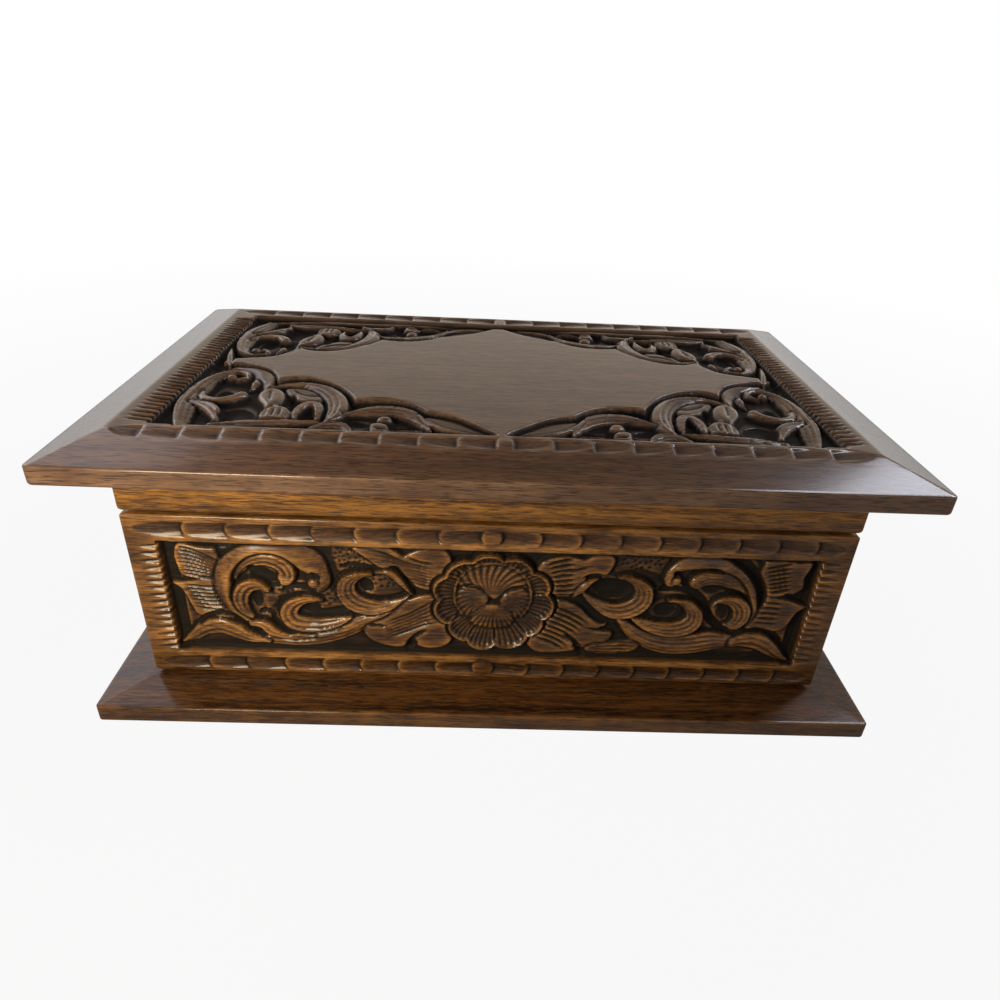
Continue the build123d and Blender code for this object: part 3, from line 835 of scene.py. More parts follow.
@dataclass(frozen=True)
class FrontOrnament(WallOrnament):
    """The front: a rosette between two scrolling acanthus stems."""

    low: Point = (-124.0, 21.6)
    high: Point = (124.6, 72.8)
    end: float = 131.5
    left_stem: tuple[Cut, ...] = (
        # stippled ground that stands higher than the hollows
        Patch(((-61, 72.4), (-50, 72.4), (-44, 67), (-46, 62.5), (-53, 62.6), (-58.4, 60), (-60.5, 66)), -2.7,
            roll=0.4, moat=0.3),
        Patch(((-72, 50.5), (-63, 51.5), (-58.5, 50), (-56, 44.6), (-60, 43.4), (-68, 44.4)), -2.8, roll=0.4,
            moat=0.3),
        Patch(((-88, 49), (-83, 51), (-80, 53), (-73, 55.5), (-72, 52), (-80, 49), (-84.5, 43), (-88, 41)),
            -2.9, roll=0.4, moat=0.3),
        # fan leaf at the far left, two lobes
        Patch(((-104, 70.6), (-110, 70.2), (-114.6, 71.4), (-118, 70.8), (-119.6, 66), (-119, 60.5),
            (-118.2, 57.4), (-114.8, 55.8), (-110, 55.2), (-103, 58)), -1.5, roll=0.5),
        Patch(((-103, 57), (-109, 56), (-114.5, 54.8), (-118.5, 54), (-122.6, 53.4), (-119.4, 50.5),
            (-117.8, 46.5), (-116.4, 42), (-114.5, 38), (-106, 36.5), (-99, 38)), -1.6, roll=0.5),
        Fan(((-119, 70), (-111.5, 68.2), (-101, 62)), ((-118.6, 58.6), (-110, 56.4), (-101.6, 55.8)), 8,
            0.75, 1.1),
        Fan(((-118.4, 53), (-110.5, 51.8), (-101.6, 52)), ((-115.4, 43), (-108, 41), (-99.6, 42)), 7,
            0.75, 1),
        Pit((-105.5, 71.4), (8.5, 1.7), -7, FLOOR, power=1.5),
        # big C-scroll crest: a worn ridge with a broad outer slope
        Strand(((-95.4, 35.6), (-100.2, 41.5), (-102.6, 49), (-102.2, 56.5), (-98.8, 63.4), (-92.2, 68.4),
            (-84, 70.4), (-75.6, 68.9), (-69.2, 64.9), (-65.4, 60), (-63.9, 56), (-66.4, 52)), (1.6, 2.6, 3.3,
            3.6, 3.9, 3.6, 2.9, 3.6, 5.6, 5.6, 3, 1.5), (-1.4, -0.5, -0.1, 0, 0, -0.1), crown=1.7,
            ridge=-0.45),
        Knob((-68.4, 55), 2.4, -0.5, 0.9),
        Pit((-67.4, 59), (2.2, 1.4), -35, -3.8),
        # volute 1
        Strand(((-98, 55.5), (-95, 60.5), (-90, 64.2), (-84.5, 65), (-79.8, 63), (-77.8, 59.2), (-79, 56.6)),
            (0.9, 1.8, 2.6, 3.2, 3.7, 3.9, 3.2), (-2.2, -1.1, -0.6, -0.5), crown=1.3, ridge=0.55, reeds=3),
        Pit((-87, 56.8), (7.6, 3.4), -38, FLOOR),
        # volute 2
        Strand(((-93.4, 37.4), (-96.6, 42.5), (-96.8, 48), (-94.2, 52.2), (-90.4, 53.2), (-86.6, 51)), (1,
            2.6, 3.4, 3.6, 3.2, 1.6), (-1.6, -0.7, -0.5, -0.8), crown=1.4, ridge=0.65, reeds=3),
        Pit((-90.9, 46.2), (2, 4.2), 0, FLOOR),
        # stem
        Strand(((-98, 27.6), (-86, 28.2), (-75, 28.5), (-65, 30.4), (-56, 33.8), (-48, 38.4), (-40, 43.2),
            (-32.5, 48.6)), (2, 4.2, 5, 5, 4.5, 3.4, 2.3, 0.8), (-1.3, -0.7, -0.3, -0.4), crown=1.3,
            ridge=0.1, reeds=5, reed_depth=0.7),
        # second hump that flows into the stem
        Strand(((-93.8, 34.6), (-89.6, 34.2), (-86, 31.2), (-79, 29.4), (-70, 29.4)), (1.6, 2.7, 2.5, 2, 0.8),
            (-0.8, -0.2, -0.3, -0.7), crown=0.9, ridge=0.2, reeds=2),
        # volute 3, whose strands run on into the stem
        Strand(((-66.5, 46.6), (-71.5, 46.9), (-76.8, 44.6), (-79, 40.4), (-77, 36.4), (-71, 34.9),
            (-63, 35.8), (-55, 39.2)), (1.3, 2.6, 3.6, 4, 3.8, 3.2, 2.4, 0.8), (-0.8, -0.1, -0.1, -0.8),
            crown=1.5, ridge=-0.75, reeds=3),
        Pit((-70.4, 42.6), (3.6, 2.6), 0, FLOOR),
        Groove(((-72, 41.2), (-66, 40.2), (-59, 41.6), (-55.4, 43.6)), 1.8, 1.6),
        Groove(((-81.6, 49), (-77.6, 52.2), (-72, 52.2), (-65.6, 49)), 1.9, 2.2, 0.2),
        # hump leaf
        Strand(((-123, 24), (-117.5, 27.6), (-112.4, 31.4), (-106.4, 32.8), (-100.8, 30.8), (-95.5, 28),
            (-88, 26)), (0.6, 2.8, 4, 4.3, 4, 2.8, 1), (-1.6, -0.9, -0.2, -0.5), crown=1.3, ridge=0.4,
            reeds=3),
        Groove(((-115, 32.6), (-111, 37.6), (-104.5, 39.2), (-99.5, 37), (-95.5, 32.6), (-88.5, 28.6)), 1.4,
            2.8, 0.15),
        Groove(((-86, 38.4), (-84.4, 34.2), (-80.6, 31.3), (-76.5, 31)), 1.3, 2.6, 0.2),
        Groove(((-91, 38.5), (-88, 40.2), (-84.6, 37.4)), 1.3, 1.6),
        # ring 4, the eye
        Patch(((-50.5, 57), (-46, 60), (-40.5, 60), (-36, 56.4), (-34, 52.2), (-40, 49.4), (-48, 50)), -2.9,
            roll=0.3, moat=0.1),
        Strand(((-46.4, 59.6), (-51.2, 59), (-55.4, 55.8), (-56, 50.8), (-52.8, 46.4), (-46.4, 44.4),
            (-39.6, 45.8), (-34.2, 49), (-30.4, 51.6)), (1, 2.4, 3.8, 4.1, 4.1, 3.4, 2.4, 1.2, 0.3), (-0.8,
            -0.1, -0.1, -0.8), crown=1.5, ridge=-0.75, reeds=4),
        Pit((-48.4, 54), (2.6, 3.4), 20, FLOOR),
        Strand(((-44.8, 60.2), (-40.4, 61.2), (-36.6, 58.8), (-33.6, 54.8), (-30.4, 51)), (0.5, 1.7, 1.9,
            1.3, 0.4), (-1.2, -0.3, -0.6), crown=0.9, ridge=0.3),
        Groove(((-58.6, 61.6), (-53.5, 63.4), (-47.5, 62.6), (-43, 60.4)), 1.2, 1.8, 0.2),
        # upper leaf that fans out from behind the rosette
        Patch(((-55, 72.4), (-47, 72.4), (-38.5, 72.4), (-34, 69.2), (-31.5, 70.6), (-27, 72.3), (-18, 72.2),
            (-14, 60), (-20, 53), (-28.5, 54), (-33.4, 58.4), (-37, 63), (-42.6, 62.6), (-47, 66)), -1.3,
            roll=0.9),
        Fan(((-47, 71.2), (-40.6, 69.4), (-33, 65.6), (-22, 63.4)), ((-34.5, 58.4), (-30.6, 56.4),
            (-26.6, 55.4), (-22, 55)), 7, 0.8, 1.1),
        Groove(((-32.6, 68.6), (-28, 66.4), (-22, 65.4)), 0.7, 0.9),
        Pit((-35.6, 71.6), (3.4, 1.5), -32, FLOOR, power=1.5),
        # lower leaf with its knob and bottom lobe
        Patch(((-29.2, 50.4), (-34, 47.6), (-38, 43), (-42, 39.4), (-46.6, 37.2), (-50.2, 34.4), (-50, 30.6),
            (-46.6, 27), (-39, 24.4), (-33.8, 25), (-32.2, 28.4), (-29.8, 28), (-29.4, 25.6), (-24.5, 24),
            (-18.6, 25.2), (-15, 29), (-14, 40), (-20, 50)), -1.2, roll=1),
        Fan(((-42, 37.4), (-34, 40.6), (-27, 45), (-22, 49)), ((-41.5, 29.5), (-34, 32.6), (-26, 36.5),
            (-20, 38)), 6, 0.75, 0.9),
        Groove(((-32.4, 27), (-29.6, 31), (-25, 34)), 1, 1.4),
        Groove(((-49.6, 36.2), (-45.6, 35.6), (-40.6, 35.4)), 0.8, 1.4),
        Pit((-32.6, 24.4), (1.6, 2.6), -20, FLOOR, power=1.6),
    )
    right_stem: tuple[Cut, ...] = (
        Patch(((47, 72.4), (66, 72.4), (66, 62), (63, 63), (56, 65), (46.4, 63.6)), -2.9, roll=0.4, moat=0.3),
        Patch(((62, 48), (68, 52.4), (73, 50.5), (73, 44), (68, 42), (62, 44)), -3.2, roll=0.4, moat=0.3),
        # fan leaf at the far right
        Patch(((103, 71.6), (110, 72), (116, 71.4), (121.4, 71.4), (121.6, 68.6), (120.2, 64), (120.8, 59.6),
            (118.6, 56.8), (114, 55), (104, 54)), -1.3, roll=1),
        Patch(((104, 55), (113.4, 54.2), (118.6, 52.6), (124.8, 50.2), (121.6, 47.6), (120, 44), (118.6, 40),
            (115.4, 37.4), (108, 37.4), (101.5, 39)), -1.5, roll=1),
        Fan(((103, 67.4), (108, 69), (114, 70.4)), ((106, 56.6), (110.6, 57.4), (116.4, 59)), 7, 0.75, 1.1),
        Fan(((105.4, 51.6), (109.5, 51.8), (115, 51)), ((103.6, 42), (108.5, 41.6), (114.5, 41.6)), 5,
            0.75, 0.8),
        Pit((119, 54), (5.6, 1.3), -24, FLOOR, power=1.5),
        # C-scroll crest
        Strand(((98.6, 38.4), (102.2, 44), (103, 50.6), (101, 57.4), (96.6, 63.4), (90, 68), (82, 70),
            (74.6, 69.6), (69.2, 66.6), (67.2, 62.2), (68.8, 58.6), (73, 58)), (1.3, 1.8, 2.2, 2.8, 3.2, 3.2,
            3.2, 3.4, 3.4, 2.2, 1.6, 1), (-1.2, -0.4, -0.1, 0, 0, -0.2, -0.5), crown=1.5, ridge=0.4),
        Groove(((88, 73), (95.4, 69.4), (101, 63.6), (104.6, 56.6), (105.4, 48.4)), 2.4, 3.6, 0.2),
        Knob((70.6, 61.2), 2.1, -0.6, 0.8),
        Pit((71.4, 64.6), (2.8, 1.5), -20, -4.2),
        # volute 1
        Strand(((79, 60.6), (84, 62.6), (90, 61.8), (95.4, 58), (99.6, 52.6)), (3.4, 3.5, 3.2, 2.2, 0.8),
            (-0.9, -0.5, -0.7, -1.8), crown=1, ridge=0.5, reeds=4),
        Groove(((76.6, 63.6), (79.6, 66.2), (84, 67), (88.4, 65.6)), 1.3, 2, 0.2),
        Groove(((85, 57.4), (90, 57.4), (95.6, 56), (100.4, 52.4)), 1.2, 2.4, 0.2),
        Pit((85.8, 56.8), (4.4, 2.6), 15, -4),
        # volute 2
        Strand(((86.6, 49.2), (90, 52), (94.8, 52), (98.4, 48.6), (98.8, 43.8), (96.4, 40.2), (93.4, 39.2)),
            (0.8, 2, 3.1, 3.8, 3.7, 2.8, 1.4), (-1, -0.3, -0.3, -0.9), crown=1.5, ridge=0.7, reeds=4),
        Pit((91.2, 45.2), (2.4, 4.2), 0, -3.9),
        # stem
        Strand(((96.8, 31.6), (89, 31.6), (80, 29.9), (70, 29.8), (61, 32.6), (55, 37.2), (50, 42.6)), (3.4,
            5.2, 5.2, 5, 4.2, 3, 1.2), (-0.9, -0.4, -0.2, -0.4, -0.8), crown=1.3, ridge=0.1, reeds=5,
            reed_depth=0.75),
        Groove(((83.6, 51), (85.2, 46), (87.8, 41.6), (92, 38.2), (97.4, 36.6)), 2, 3.8, 0.15),
        # volute 3
        Strand(((69.4, 51.2), (75.6, 50.4), (79.7, 46.8), (80.2, 42), (76.8, 38.6), (70, 37.4), (62, 39.2),
            (55.4, 43)), (0.8, 2.2, 3.6, 4, 3.7, 3.1, 2.3, 0.8), (-0.8, -0.1, -0.1, -0.6), crown=1.5,
            ridge=0.75, reeds=4),
        Pit((68.4, 46.2), (4.6, 3.6), 10, -4),
        Groove(((64.6, 55.4), (70, 57), (76.4, 55.8), (81.6, 52), (85, 46.6)), 2, 3.6, 0.15),
        # hump leaf
        Strand(((98.6, 31.2), (103, 32.6), (108.5, 32.2), (114, 28.8), (119, 24.6), (123.6, 22.4)), (2.8, 4.2,
            4.4, 3.8, 2.4, 0.6), (-1, -0.4, -0.6, -1.8), crown=1.3, ridge=0.3, reeds=3),
        Groove(((101.6, 37.2), (107, 38), (112.4, 36.4), (116.4, 32.8), (119.6, 29)), 1.5, 3, 0.15),
        # ring 4
        Patch(((38, 56), (44, 61.4), (50, 61), (52.6, 56), (50, 51.6), (42, 51.6)), -3.4, roll=0.3, moat=0.1),
        Strand(((48.6, 61.6), (54.4, 60.4), (58.6, 56.4), (58.4, 50.8), (53.8, 46.8), (47.4, 46),
            (41.4, 48.8), (36.6, 52.8), (33.8, 56.8)), (0.8, 2.2, 3.9, 4.2, 4.1, 3.5, 2.5, 1.4, 0.5), (-0.7,
            -0.1, -0.1, -0.8), crown=1.5, ridge=0.75, reeds=4),
        Pit((46.4, 55.6), (7.6, 4.6), -10, FLOOR, power=3),
        # upper leaf beside the rosette
        Patch(((18, 68), (24, 70.6), (31, 70.6), (34.4, 70), (38, 71.8), (44, 72.3), (46.4, 70), (45.6, 65.5),
            (43.5, 62.6), (39, 62.8), (36.4, 61.4), (36, 58), (34, 53.4), (29, 51.6), (24, 52), (16, 58)),
            -1.2, roll=0.9),
        Fan(((20, 66.6), (26, 68.8), (31, 69.6)), ((24, 53), (29, 52.8), (33, 53.4)), 8, 0.8, 1.2),
        Groove(((24, 62), (31, 64.6), (38, 67)), 0.7, 0.8),
        Strand(((41, 60.6), (37.4, 59.2), (34.6, 56), (31.4, 51.6)), (0.3, 1.5, 1.9, 0.3), (-1.2, -0.5, -1),
            crown=0.8, reeds=2, reed_depth=0.5),
        Groove(((43, 62), (38.4, 62.6), (34.2, 61)), 0.8, 1.6),
        # lower leaves
        Patch(((38, 27.6), (44, 29), (52, 30), (59, 31), (61, 27.4), (56, 24), (48, 23), (40, 24)), -2,
            roll=0.5),
        Fan(((39, 26.8), (48, 28.8), (59.6, 29.6)), ((39.6, 24.6), (48, 24), (57, 24.8)), 4, 0.7, 0.9),
        Patch(((22, 51), (29.6, 50.2), (35, 47.2), (39.2, 42.6), (43, 39.9), (46.6, 38.8), (43.6, 36.8),
            (48.8, 35.2), (48.6, 32), (46.4, 29.8), (42, 29.4), (38.4, 27), (36.4, 26), (34, 28.2),
            (34.8, 25.2), (29, 24), (22, 23.4), (17, 25), (14, 30), (14, 42)), -1.1, roll=1),
        Fan(((22, 47.6), (31, 44.4), (39.6, 38.6)), ((17.6, 32), (24.6, 29.4), (30, 25.6)), 8, 0.8, 1),
        Groove(((48.4, 37.4), (42.6, 36.6), (37.6, 37.4)), 0.7, 1.3),
        Groove(((37.4, 25.4), (34, 30), (29, 33.6)), 1.1, 1.8),
        Pit((37, 24), (1.5, 2.8), 25, FLOOR, power=1.6),
    )

    def motif(self) -> list[Cut]:
        """Returns the end grooves, both stems, the rosette and the stippled grounds."""
        return [
            Groove(((-121.8, 18), (-121.8, 40), (-121.8, 76)), 2.8, 3.4, 0.05),
            Groove(((121.8, 18), (121.8, 40), (121.8, 76)), 2.4, 2.6, 0.05),
            *self.left_stem,
            *self.right_stem,
            Rosette(),
            Stipple((-53, 67), (7, 5.5), 34, seed=7),
            Stipple((-63.5, 47.6), (6, 3.2), 18, seed=8),
            Stipple((-41.5, 56.4), (5, 3), 14, seed=9),
            Stipple((-80, 50.5), (6, 4), 12, seed=10),
            Stipple((57, 68.5), (9, 3.6), 22, seed=11),
        ]

    def borders(self) -> list[Cut]:
        """Returns the scooped rows above and below the field and the wedges at its sides."""
        return [
            *GougeRow(78.5, -5, 15.6, -self.end).cuts(),
            *GougeRow(78.5, 3, 14.8, self.end).cuts(),
            *GougeRow(15.6, -7, 15.2, -self.end).cuts(),
            *GougeRow(15.6, 1.8, 14.6, self.end).cuts(),
            Knob((-1, 78.5), 3.7, -0.1, 0.3),
            Knob((-2.8, 16.2), 3.9, -0.1, 0.3),
            *WedgeColumn(-131.8, -123.0, 23.4, 3.15, 16).cuts(),
            *WedgeColumn(131.8, 123.6, 24.0, 3.15, 16).cuts(),
        ]


@dataclass(frozen=True)
class SideOrnament(WallOrnament):
    """A side wall: a rosette between short acanthus leaves."""

    low: Point = (-67.5, 21.6)
    high: Point = (67.5, 72.8)
    end: float = 73.0
    middle: float = 0.6
    half: tuple[Cut, ...] = (
        # scroll that closes the field
        Strand(((62, 26), (65, 34), (65.4, 44), (63.4, 54), (58.6, 62), (51.6, 67), (44.4, 67.4),
            (40.4, 63.4), (42, 58.8), (46, 58.4)), (2, 3, 3.4, 3.4, 3.6, 3.6, 3.4, 2.8, 2, 1), (-1, -0.3,
            -0.1, 0, -0.1, -0.4), crown=1.5, ridge=-0.4, reeds=3),
        Knob((44.4, 61.8), 2.2, -0.6, 0.8),
        # ring, the eye of the stem
        Strand(((49, 56.4), (54.4, 54.4), (57.6, 49.6), (56.6, 44), (51.6, 40.6), (45.4, 41), (40.4, 44.6),
            (36, 49.6), (33.4, 54)), (0.8, 2.2, 3.6, 3.9, 3.8, 3.2, 2.4, 1.4, 0.5), (-0.7, -0.1, -0.1, -0.8),
            crown=1.5, ridge=0.75, reeds=4),
        Pit((47, 49.6), (4.6, 3.4), -10, -4.2),
        # leaf above, beside the rosette
        Patch(((14, 70), (22, 72), (30, 71), (34.6, 66.4), (37.4, 61.6), (34.6, 56.4), (28, 53), (18, 56)),
            -1.2),
        Fan(((18, 68.6), (25, 69.6), (31.6, 67)), ((24, 56), (29.6, 57), (35.2, 60.6)), 7, 0.8, 1.1),
        # leaves below
        Patch(((16, 26), (26, 23.6), (36, 24.6), (43, 28.4), (48, 34.4), (44, 38.4), (37.6, 42), (30, 45.4),
            (20, 44)), -1.1, roll=1),
        Fan(((24, 42.6), (33, 40.6), (42, 36.4)), ((19, 29), (27, 27), (35.4, 26.4)), 7, 0.8, 1),
        Patch(((46, 27), (52, 24), (59, 23.6), (62, 28), (61.6, 34), (56.6, 35.6), (50.4, 33.4)), -1.5,
            roll=1),
        Fan(((48.6, 28.6), (54, 31.4), (59.6, 32.4)), ((49.6, 26.6), (54.6, 26), (59.6, 26.4)), 4, 0.7, 0.8),
    )

    def motif(self) -> list[Cut]:
        """Returns the leaves of both halves and the rosette between them."""
        return [*with_mirror(self.half, self.middle), Rosette()]

    def borders(self) -> list[Cut]:
        """Returns the scooped rows above and below the field and the wedges at its sides."""
        rows = [GougeRow(level, way * 4, 13.8, way * self.end) for level in (78.5, 15.6) for way in (-1, 1)]
        return [
            *(cut for row in rows for cut in row.cuts()),
            *WedgeColumn(-74.0, -67.0, 23.4, 3.15, 16).cuts(),
            *WedgeColumn(74.0, 67.0, 23.4, 3.15, 16).cuts(),
        ]


@dataclass(frozen=True)
class LidOrnament:
    """The lid: four corners of scrolls round a plain lozenge, framed by scooped borders.

    The corner is the front left one. The others mirror it, and the back ones are a little squeezed.
    """

    middle_x: float = 1.0
    middle_y: float = -2.76
    squeeze: float = 0.92
    end: float = 131.6
    stem: Cut = Strand(((-112, 59.6), (-92, 61.4), (-62, 61.2), (-34, 62), (-14, 61.6)),
                       (1, 2, 2.1, 1.6, 0.4), (-1.6, -0.7, -0.6, -1.6), reeds=2)
    side_leaf: tuple[Cut, ...] = (
        Strand(((-119.6, 19), (-117.4, 8), (-114.8, -1), (-112.6, -8)), (0.5, 1.6, 1.8, 0.6), (-1.2,
            -0.5, -1.2), crown=0.9),
        Pit((-118.6, -3), (2, 11), 8, FLOOR, power=3),
    )
    corner: tuple[Cut, ...] = (
        Patch((((-121.5, -3), (-121.5, -35), (-121.5, -70.4)), ((-121.5, -70.4), (-60, -70.4), (-1, -70.4)),
            ((-1, -70.4), (-8, -63), (-17, -55.6), (-26.6, -51.6)), ((-26.6, -51.6), (-32.6, -45.6),
            (-40, -41.8), (-48, -41.2), (-55, -43)), ((-55, -43), (-58, -36), (-65, -27.4), (-74, -21.6),
            (-82, -20.8), (-88.4, -24.8)), ((-88.4, -24.8), (-92, -18.6), (-98, -12.2), (-105, -7.8),
            (-112, -5.4), (-121.5, -3))), -3.7, arcs=True, roll=0, moat=0.1, moat_depth=0),
        # broad outer slope beside the tall scroll
        Strand(((-112, -8.6), (-103, -11.2), (-96, -17), (-92.4, -25), (-92.6, -33)), (1, 2.6, 3.8, 3.4, 1.4),
            (-1.4, -0.9, -0.8, -1.6), crown=2.2, ridge=0.75, moat=0.5),
        # tall C-scroll
        Strand(((-111.4, -68.6), (-113.6, -60), (-115.6, -50), (-116, -39), (-115.4, -28.6), (-112.8, -19.4),
            (-107.6, -14.4), (-103, -15.8), (-102.2, -20), (-105.2, -22.6)), (2.6, 3.6, 4.2, 4.6, 4.3, 3.7,
            2.7, 2.1, 1.7, 1.1), (-1, -0.3, -0.1, -0.1, -0.3, -0.6), crown=1.4, ridge=0.6, reeds=4,
            reed_depth=0.8),
        Knob((-107.8, -20.6), 2.3, -0.4, 0.9),
        Strand(((-114, -36.5), (-111.8, -42), (-106.6, -44.8), (-101.2, -42.6), (-98.6, -38.8)), (0.8, 2, 2.3,
            2.6, 2.8), (-0.9, -0.6, -0.3), crown=1),
        Pit((-105.6, -36), (3.8, 6), 10, FLOOR),
        Strand(((-98.6, -20), (-97, -25.5), (-97.6, -31)), (0.8, 2.2, 0.8), (-1.6, -1.2, -2), crown=0.8),
        # leaf that leaves the scroll downwards
        Strand(((-114.6, -47.5), (-108.4, -50.4), (-103.6, -55.6), (-101.4, -62.5)), (1.2, 3.2, 3.2, 1.2),
            (-0.6, -0.2, -0.9), crown=1.2, ridge=0.3, reeds=2),
        Pit((-96, -55), (6.4, 7.4), 0, FLOOR, power=3),
        # leaf B, a tall petal
        Patch(((-88, -31), (-91.6, -33), (-93, -37), (-92, -42), (-88.8, -47.4), (-86.6, -51.4), (-83.6, -50),
            (-81.6, -46), (-81.6, -39), (-83.6, -33.4)), -0.5, roll=1.6, roll_width=3, moat=0.8),
        Groove(((-88.2, -33.6), (-87.6, -39), (-86.2, -46)), 0.7, 0.8),
        # scroll C
        Patch(((-84.6, -30), (-78, -28), (-71, -31), (-67, -37), (-68, -42), (-74, -42), (-80, -38)), -1.7,
            roll=0.8, moat=0.4),
        Groove(((-81, -30), (-77.4, -34), (-72, -36.6), (-67.6, -35)), 0.7, 0.8),
        Groove(((-79.6, -36), (-78.4, -43), (-77, -50)), 1.4, 3, 0.15),
        Strand(((-89.6, -30.4), (-83.6, -27.2), (-76, -26.8), (-68.8, -30.4), (-63.4, -37.4), (-60.4, -46),
            (-60.2, -55), (-63, -62.4)), (1, 1.9, 2.8, 3.8, 4.4, 4.5, 4, 1.6), (-1, -0.2, 0, 0, -0.2, -0.8),
            crown=1.5, ridge=0.45, reeds=4, reed_depth=0.8),
        Strand(((-74.4, -58.6), (-74.2, -50.4), (-71.4, -45.6), (-68.2, -46.4), (-66.6, -52), (-66.2, -60)),
            (1, 2.2, 2.7, 2.5, 1.9, 0.8), (-1, -0.4, -0.3, -0.8), crown=1.1, ridge=-0.2, reeds=2),
        Pit((-70.4, -57.4), (2.7, 4), 0, FLOOR),
        # fluted knob D
        Patch(((-87.4, -55), (-85.4, -50.6), (-80.4, -49.2), (-77, -51.8), (-75.8, -57), (-76.6, -60.8),
            (-82, -61.8), (-86.4, -60.4)), -0.5, roll=1.3, roll_width=2.4),
        Fan(((-84.8, -51.4), (-85.2, -56), (-84, -60.4)), ((-78.4, -51.4), (-77.4, -56), (-78, -60.4)), 4,
            0.7, 0.9),
        # stem E along the front
        Strand(((-101.6, -66.8), (-93, -65.4), (-82, -64.2), (-72, -62.6), (-64.6, -61.6)), (2, 3.4, 3,
            2.6, 0.8), (-1.2, -0.6, -0.4, -0.8), crown=1.3, ridge=0.2, reeds=3),
        # shell between the scrolls
        Strand(((-66, -68.2), (-61.6, -64.8), (-56.2, -65.2), (-52.4, -69.6)), (1.8, 2.8, 3.1, 1.6), (-0.9,
            -0.4, -0.9), crown=1.1, ridge=0.6, reeds=3),
        # scroll F
        Strand(((-56.4, -53.6), (-50.6, -50.8), (-43.6, -49.6), (-36.6, -51), (-31, -54.8), (-27.4, -60.6),
            (-24.4, -66.4)), (1.2, 3, 4, 4.1, 3.4, 2.2, 0.9), (-1.2, -0.4, -0.1, -0.1, -0.6), crown=1.4,
            ridge=0.65, reeds=4, reed_depth=0.8),
        Pit((-52, -58.4), (5.2, 2.6), -8, FLOOR),
        Knob((-41.6, -57.8), 3.2, -0.6, 1.2),
        Patch(((-46.4, -62), (-42.6, -61), (-39.4, -63), (-39.2, -68), (-42, -70), (-45.6, -69.4)), -0.9,
            roll=1),
        Groove(((-44.2, -66), (-42, -66.6), (-40.6, -65.6)), 0.8, 1.6),
        Pit((-33.6, -62.4), (5.6, 2.6), 0, FLOOR, power=3),
        Pit((-48.2, -66.4), (2.2, 3.8), 0, FLOOR, power=3),
        Strand(((-39.4, -66.4), (-33.4, -68), (-27.2, -65.4)), (0.6, 1.2, 0.6), (-1.4, -0.8, -1.4),
            crown=0.6),
        # tail leaf
        Patch((((-28, -52.8), (-17, -56), (-8.4, -63), (-2, -69.6)), ((-2, -69.6), (-13, -67.4), (-22, -62),
            (-28, -52.8))), -1.7, arcs=True, roll=0.3, moat=0.3),
        Strand(((-29.4, -53.4), (-26, -59.6), (-20.4, -65), (-12.6, -68.2), (-2.6, -69.8)), (0.8, 1.3, 1.8,
            1.5, 0.4), (-0.5, -0.3, -0.6, -1.2), crown=0.9),
    )

    def cuts(self) -> list[Cut]:
        """Returns every stroke of the lid in order."""
        back = [cut.mirrored(axis_z=self.middle_y, squeeze=self.squeeze) for cut in self.corner]
        groups = (self.corner, back, (self.stem,), self.side_leaf)
        return [
            SunkField((-121.5, 58.6), (123.5, 64.4), -3.7),
            *(cut for group in groups for cut in with_mirror(group, self.middle_x)),
            *self.borders(),
        ]

    def borders(self) -> list[Cut]:
        """Returns the scooped rows along the long arrises and the wedges along the short ones."""
        rows = (
            (-76.4, -1.0, 13.4, -self.end, 3.2, 1.5), (-76.4, 5.0, 13.9, self.end, 3.2, 1.5),
            (71.0, -1.2, 14.1, -self.end, 3.6, 1.3), (71.0, 5.0, 14.1, self.end, 3.6, 1.3),
        )
        return [
            *(cut for row in rows for cut in GougeRow(*row, bow=0.5, point=0.8, reach=1.06).cuts()),
            *WedgeColumn(-130.4, -120.8, -67.4, 3.32, 39, 1.3, 2.4).cuts(),
            *WedgeColumn(131.4, 121.8, -67.4, 3.32, 39, 1.3, 2.4).cuts(),
        ]


# Meshes

# The part of the texture map that a piece fills, and its distance from the map's edge
MAP_FILL = 0.98
MAP_EDGE = 0.01
# Two levels nearer than this count as the same
SAME = 1e-6


def border(grid: np.ndarray) -> np.ndarray:
    """Returns a grid's outermost points in order, each once."""
    return np.concatenate([grid[0, :-1], grid[:-1, -1], grid[-1, :0:-1], grid[:0:-1, 0]])


def chart(across: np.ndarray, up: np.ndarray) -> np.ndarray:
    """Returns places on the texture map for a grid, from those of its columns and rows."""
    return np.stack(np.broadcast_arrays(across[None, :], up[:, None]), -1)


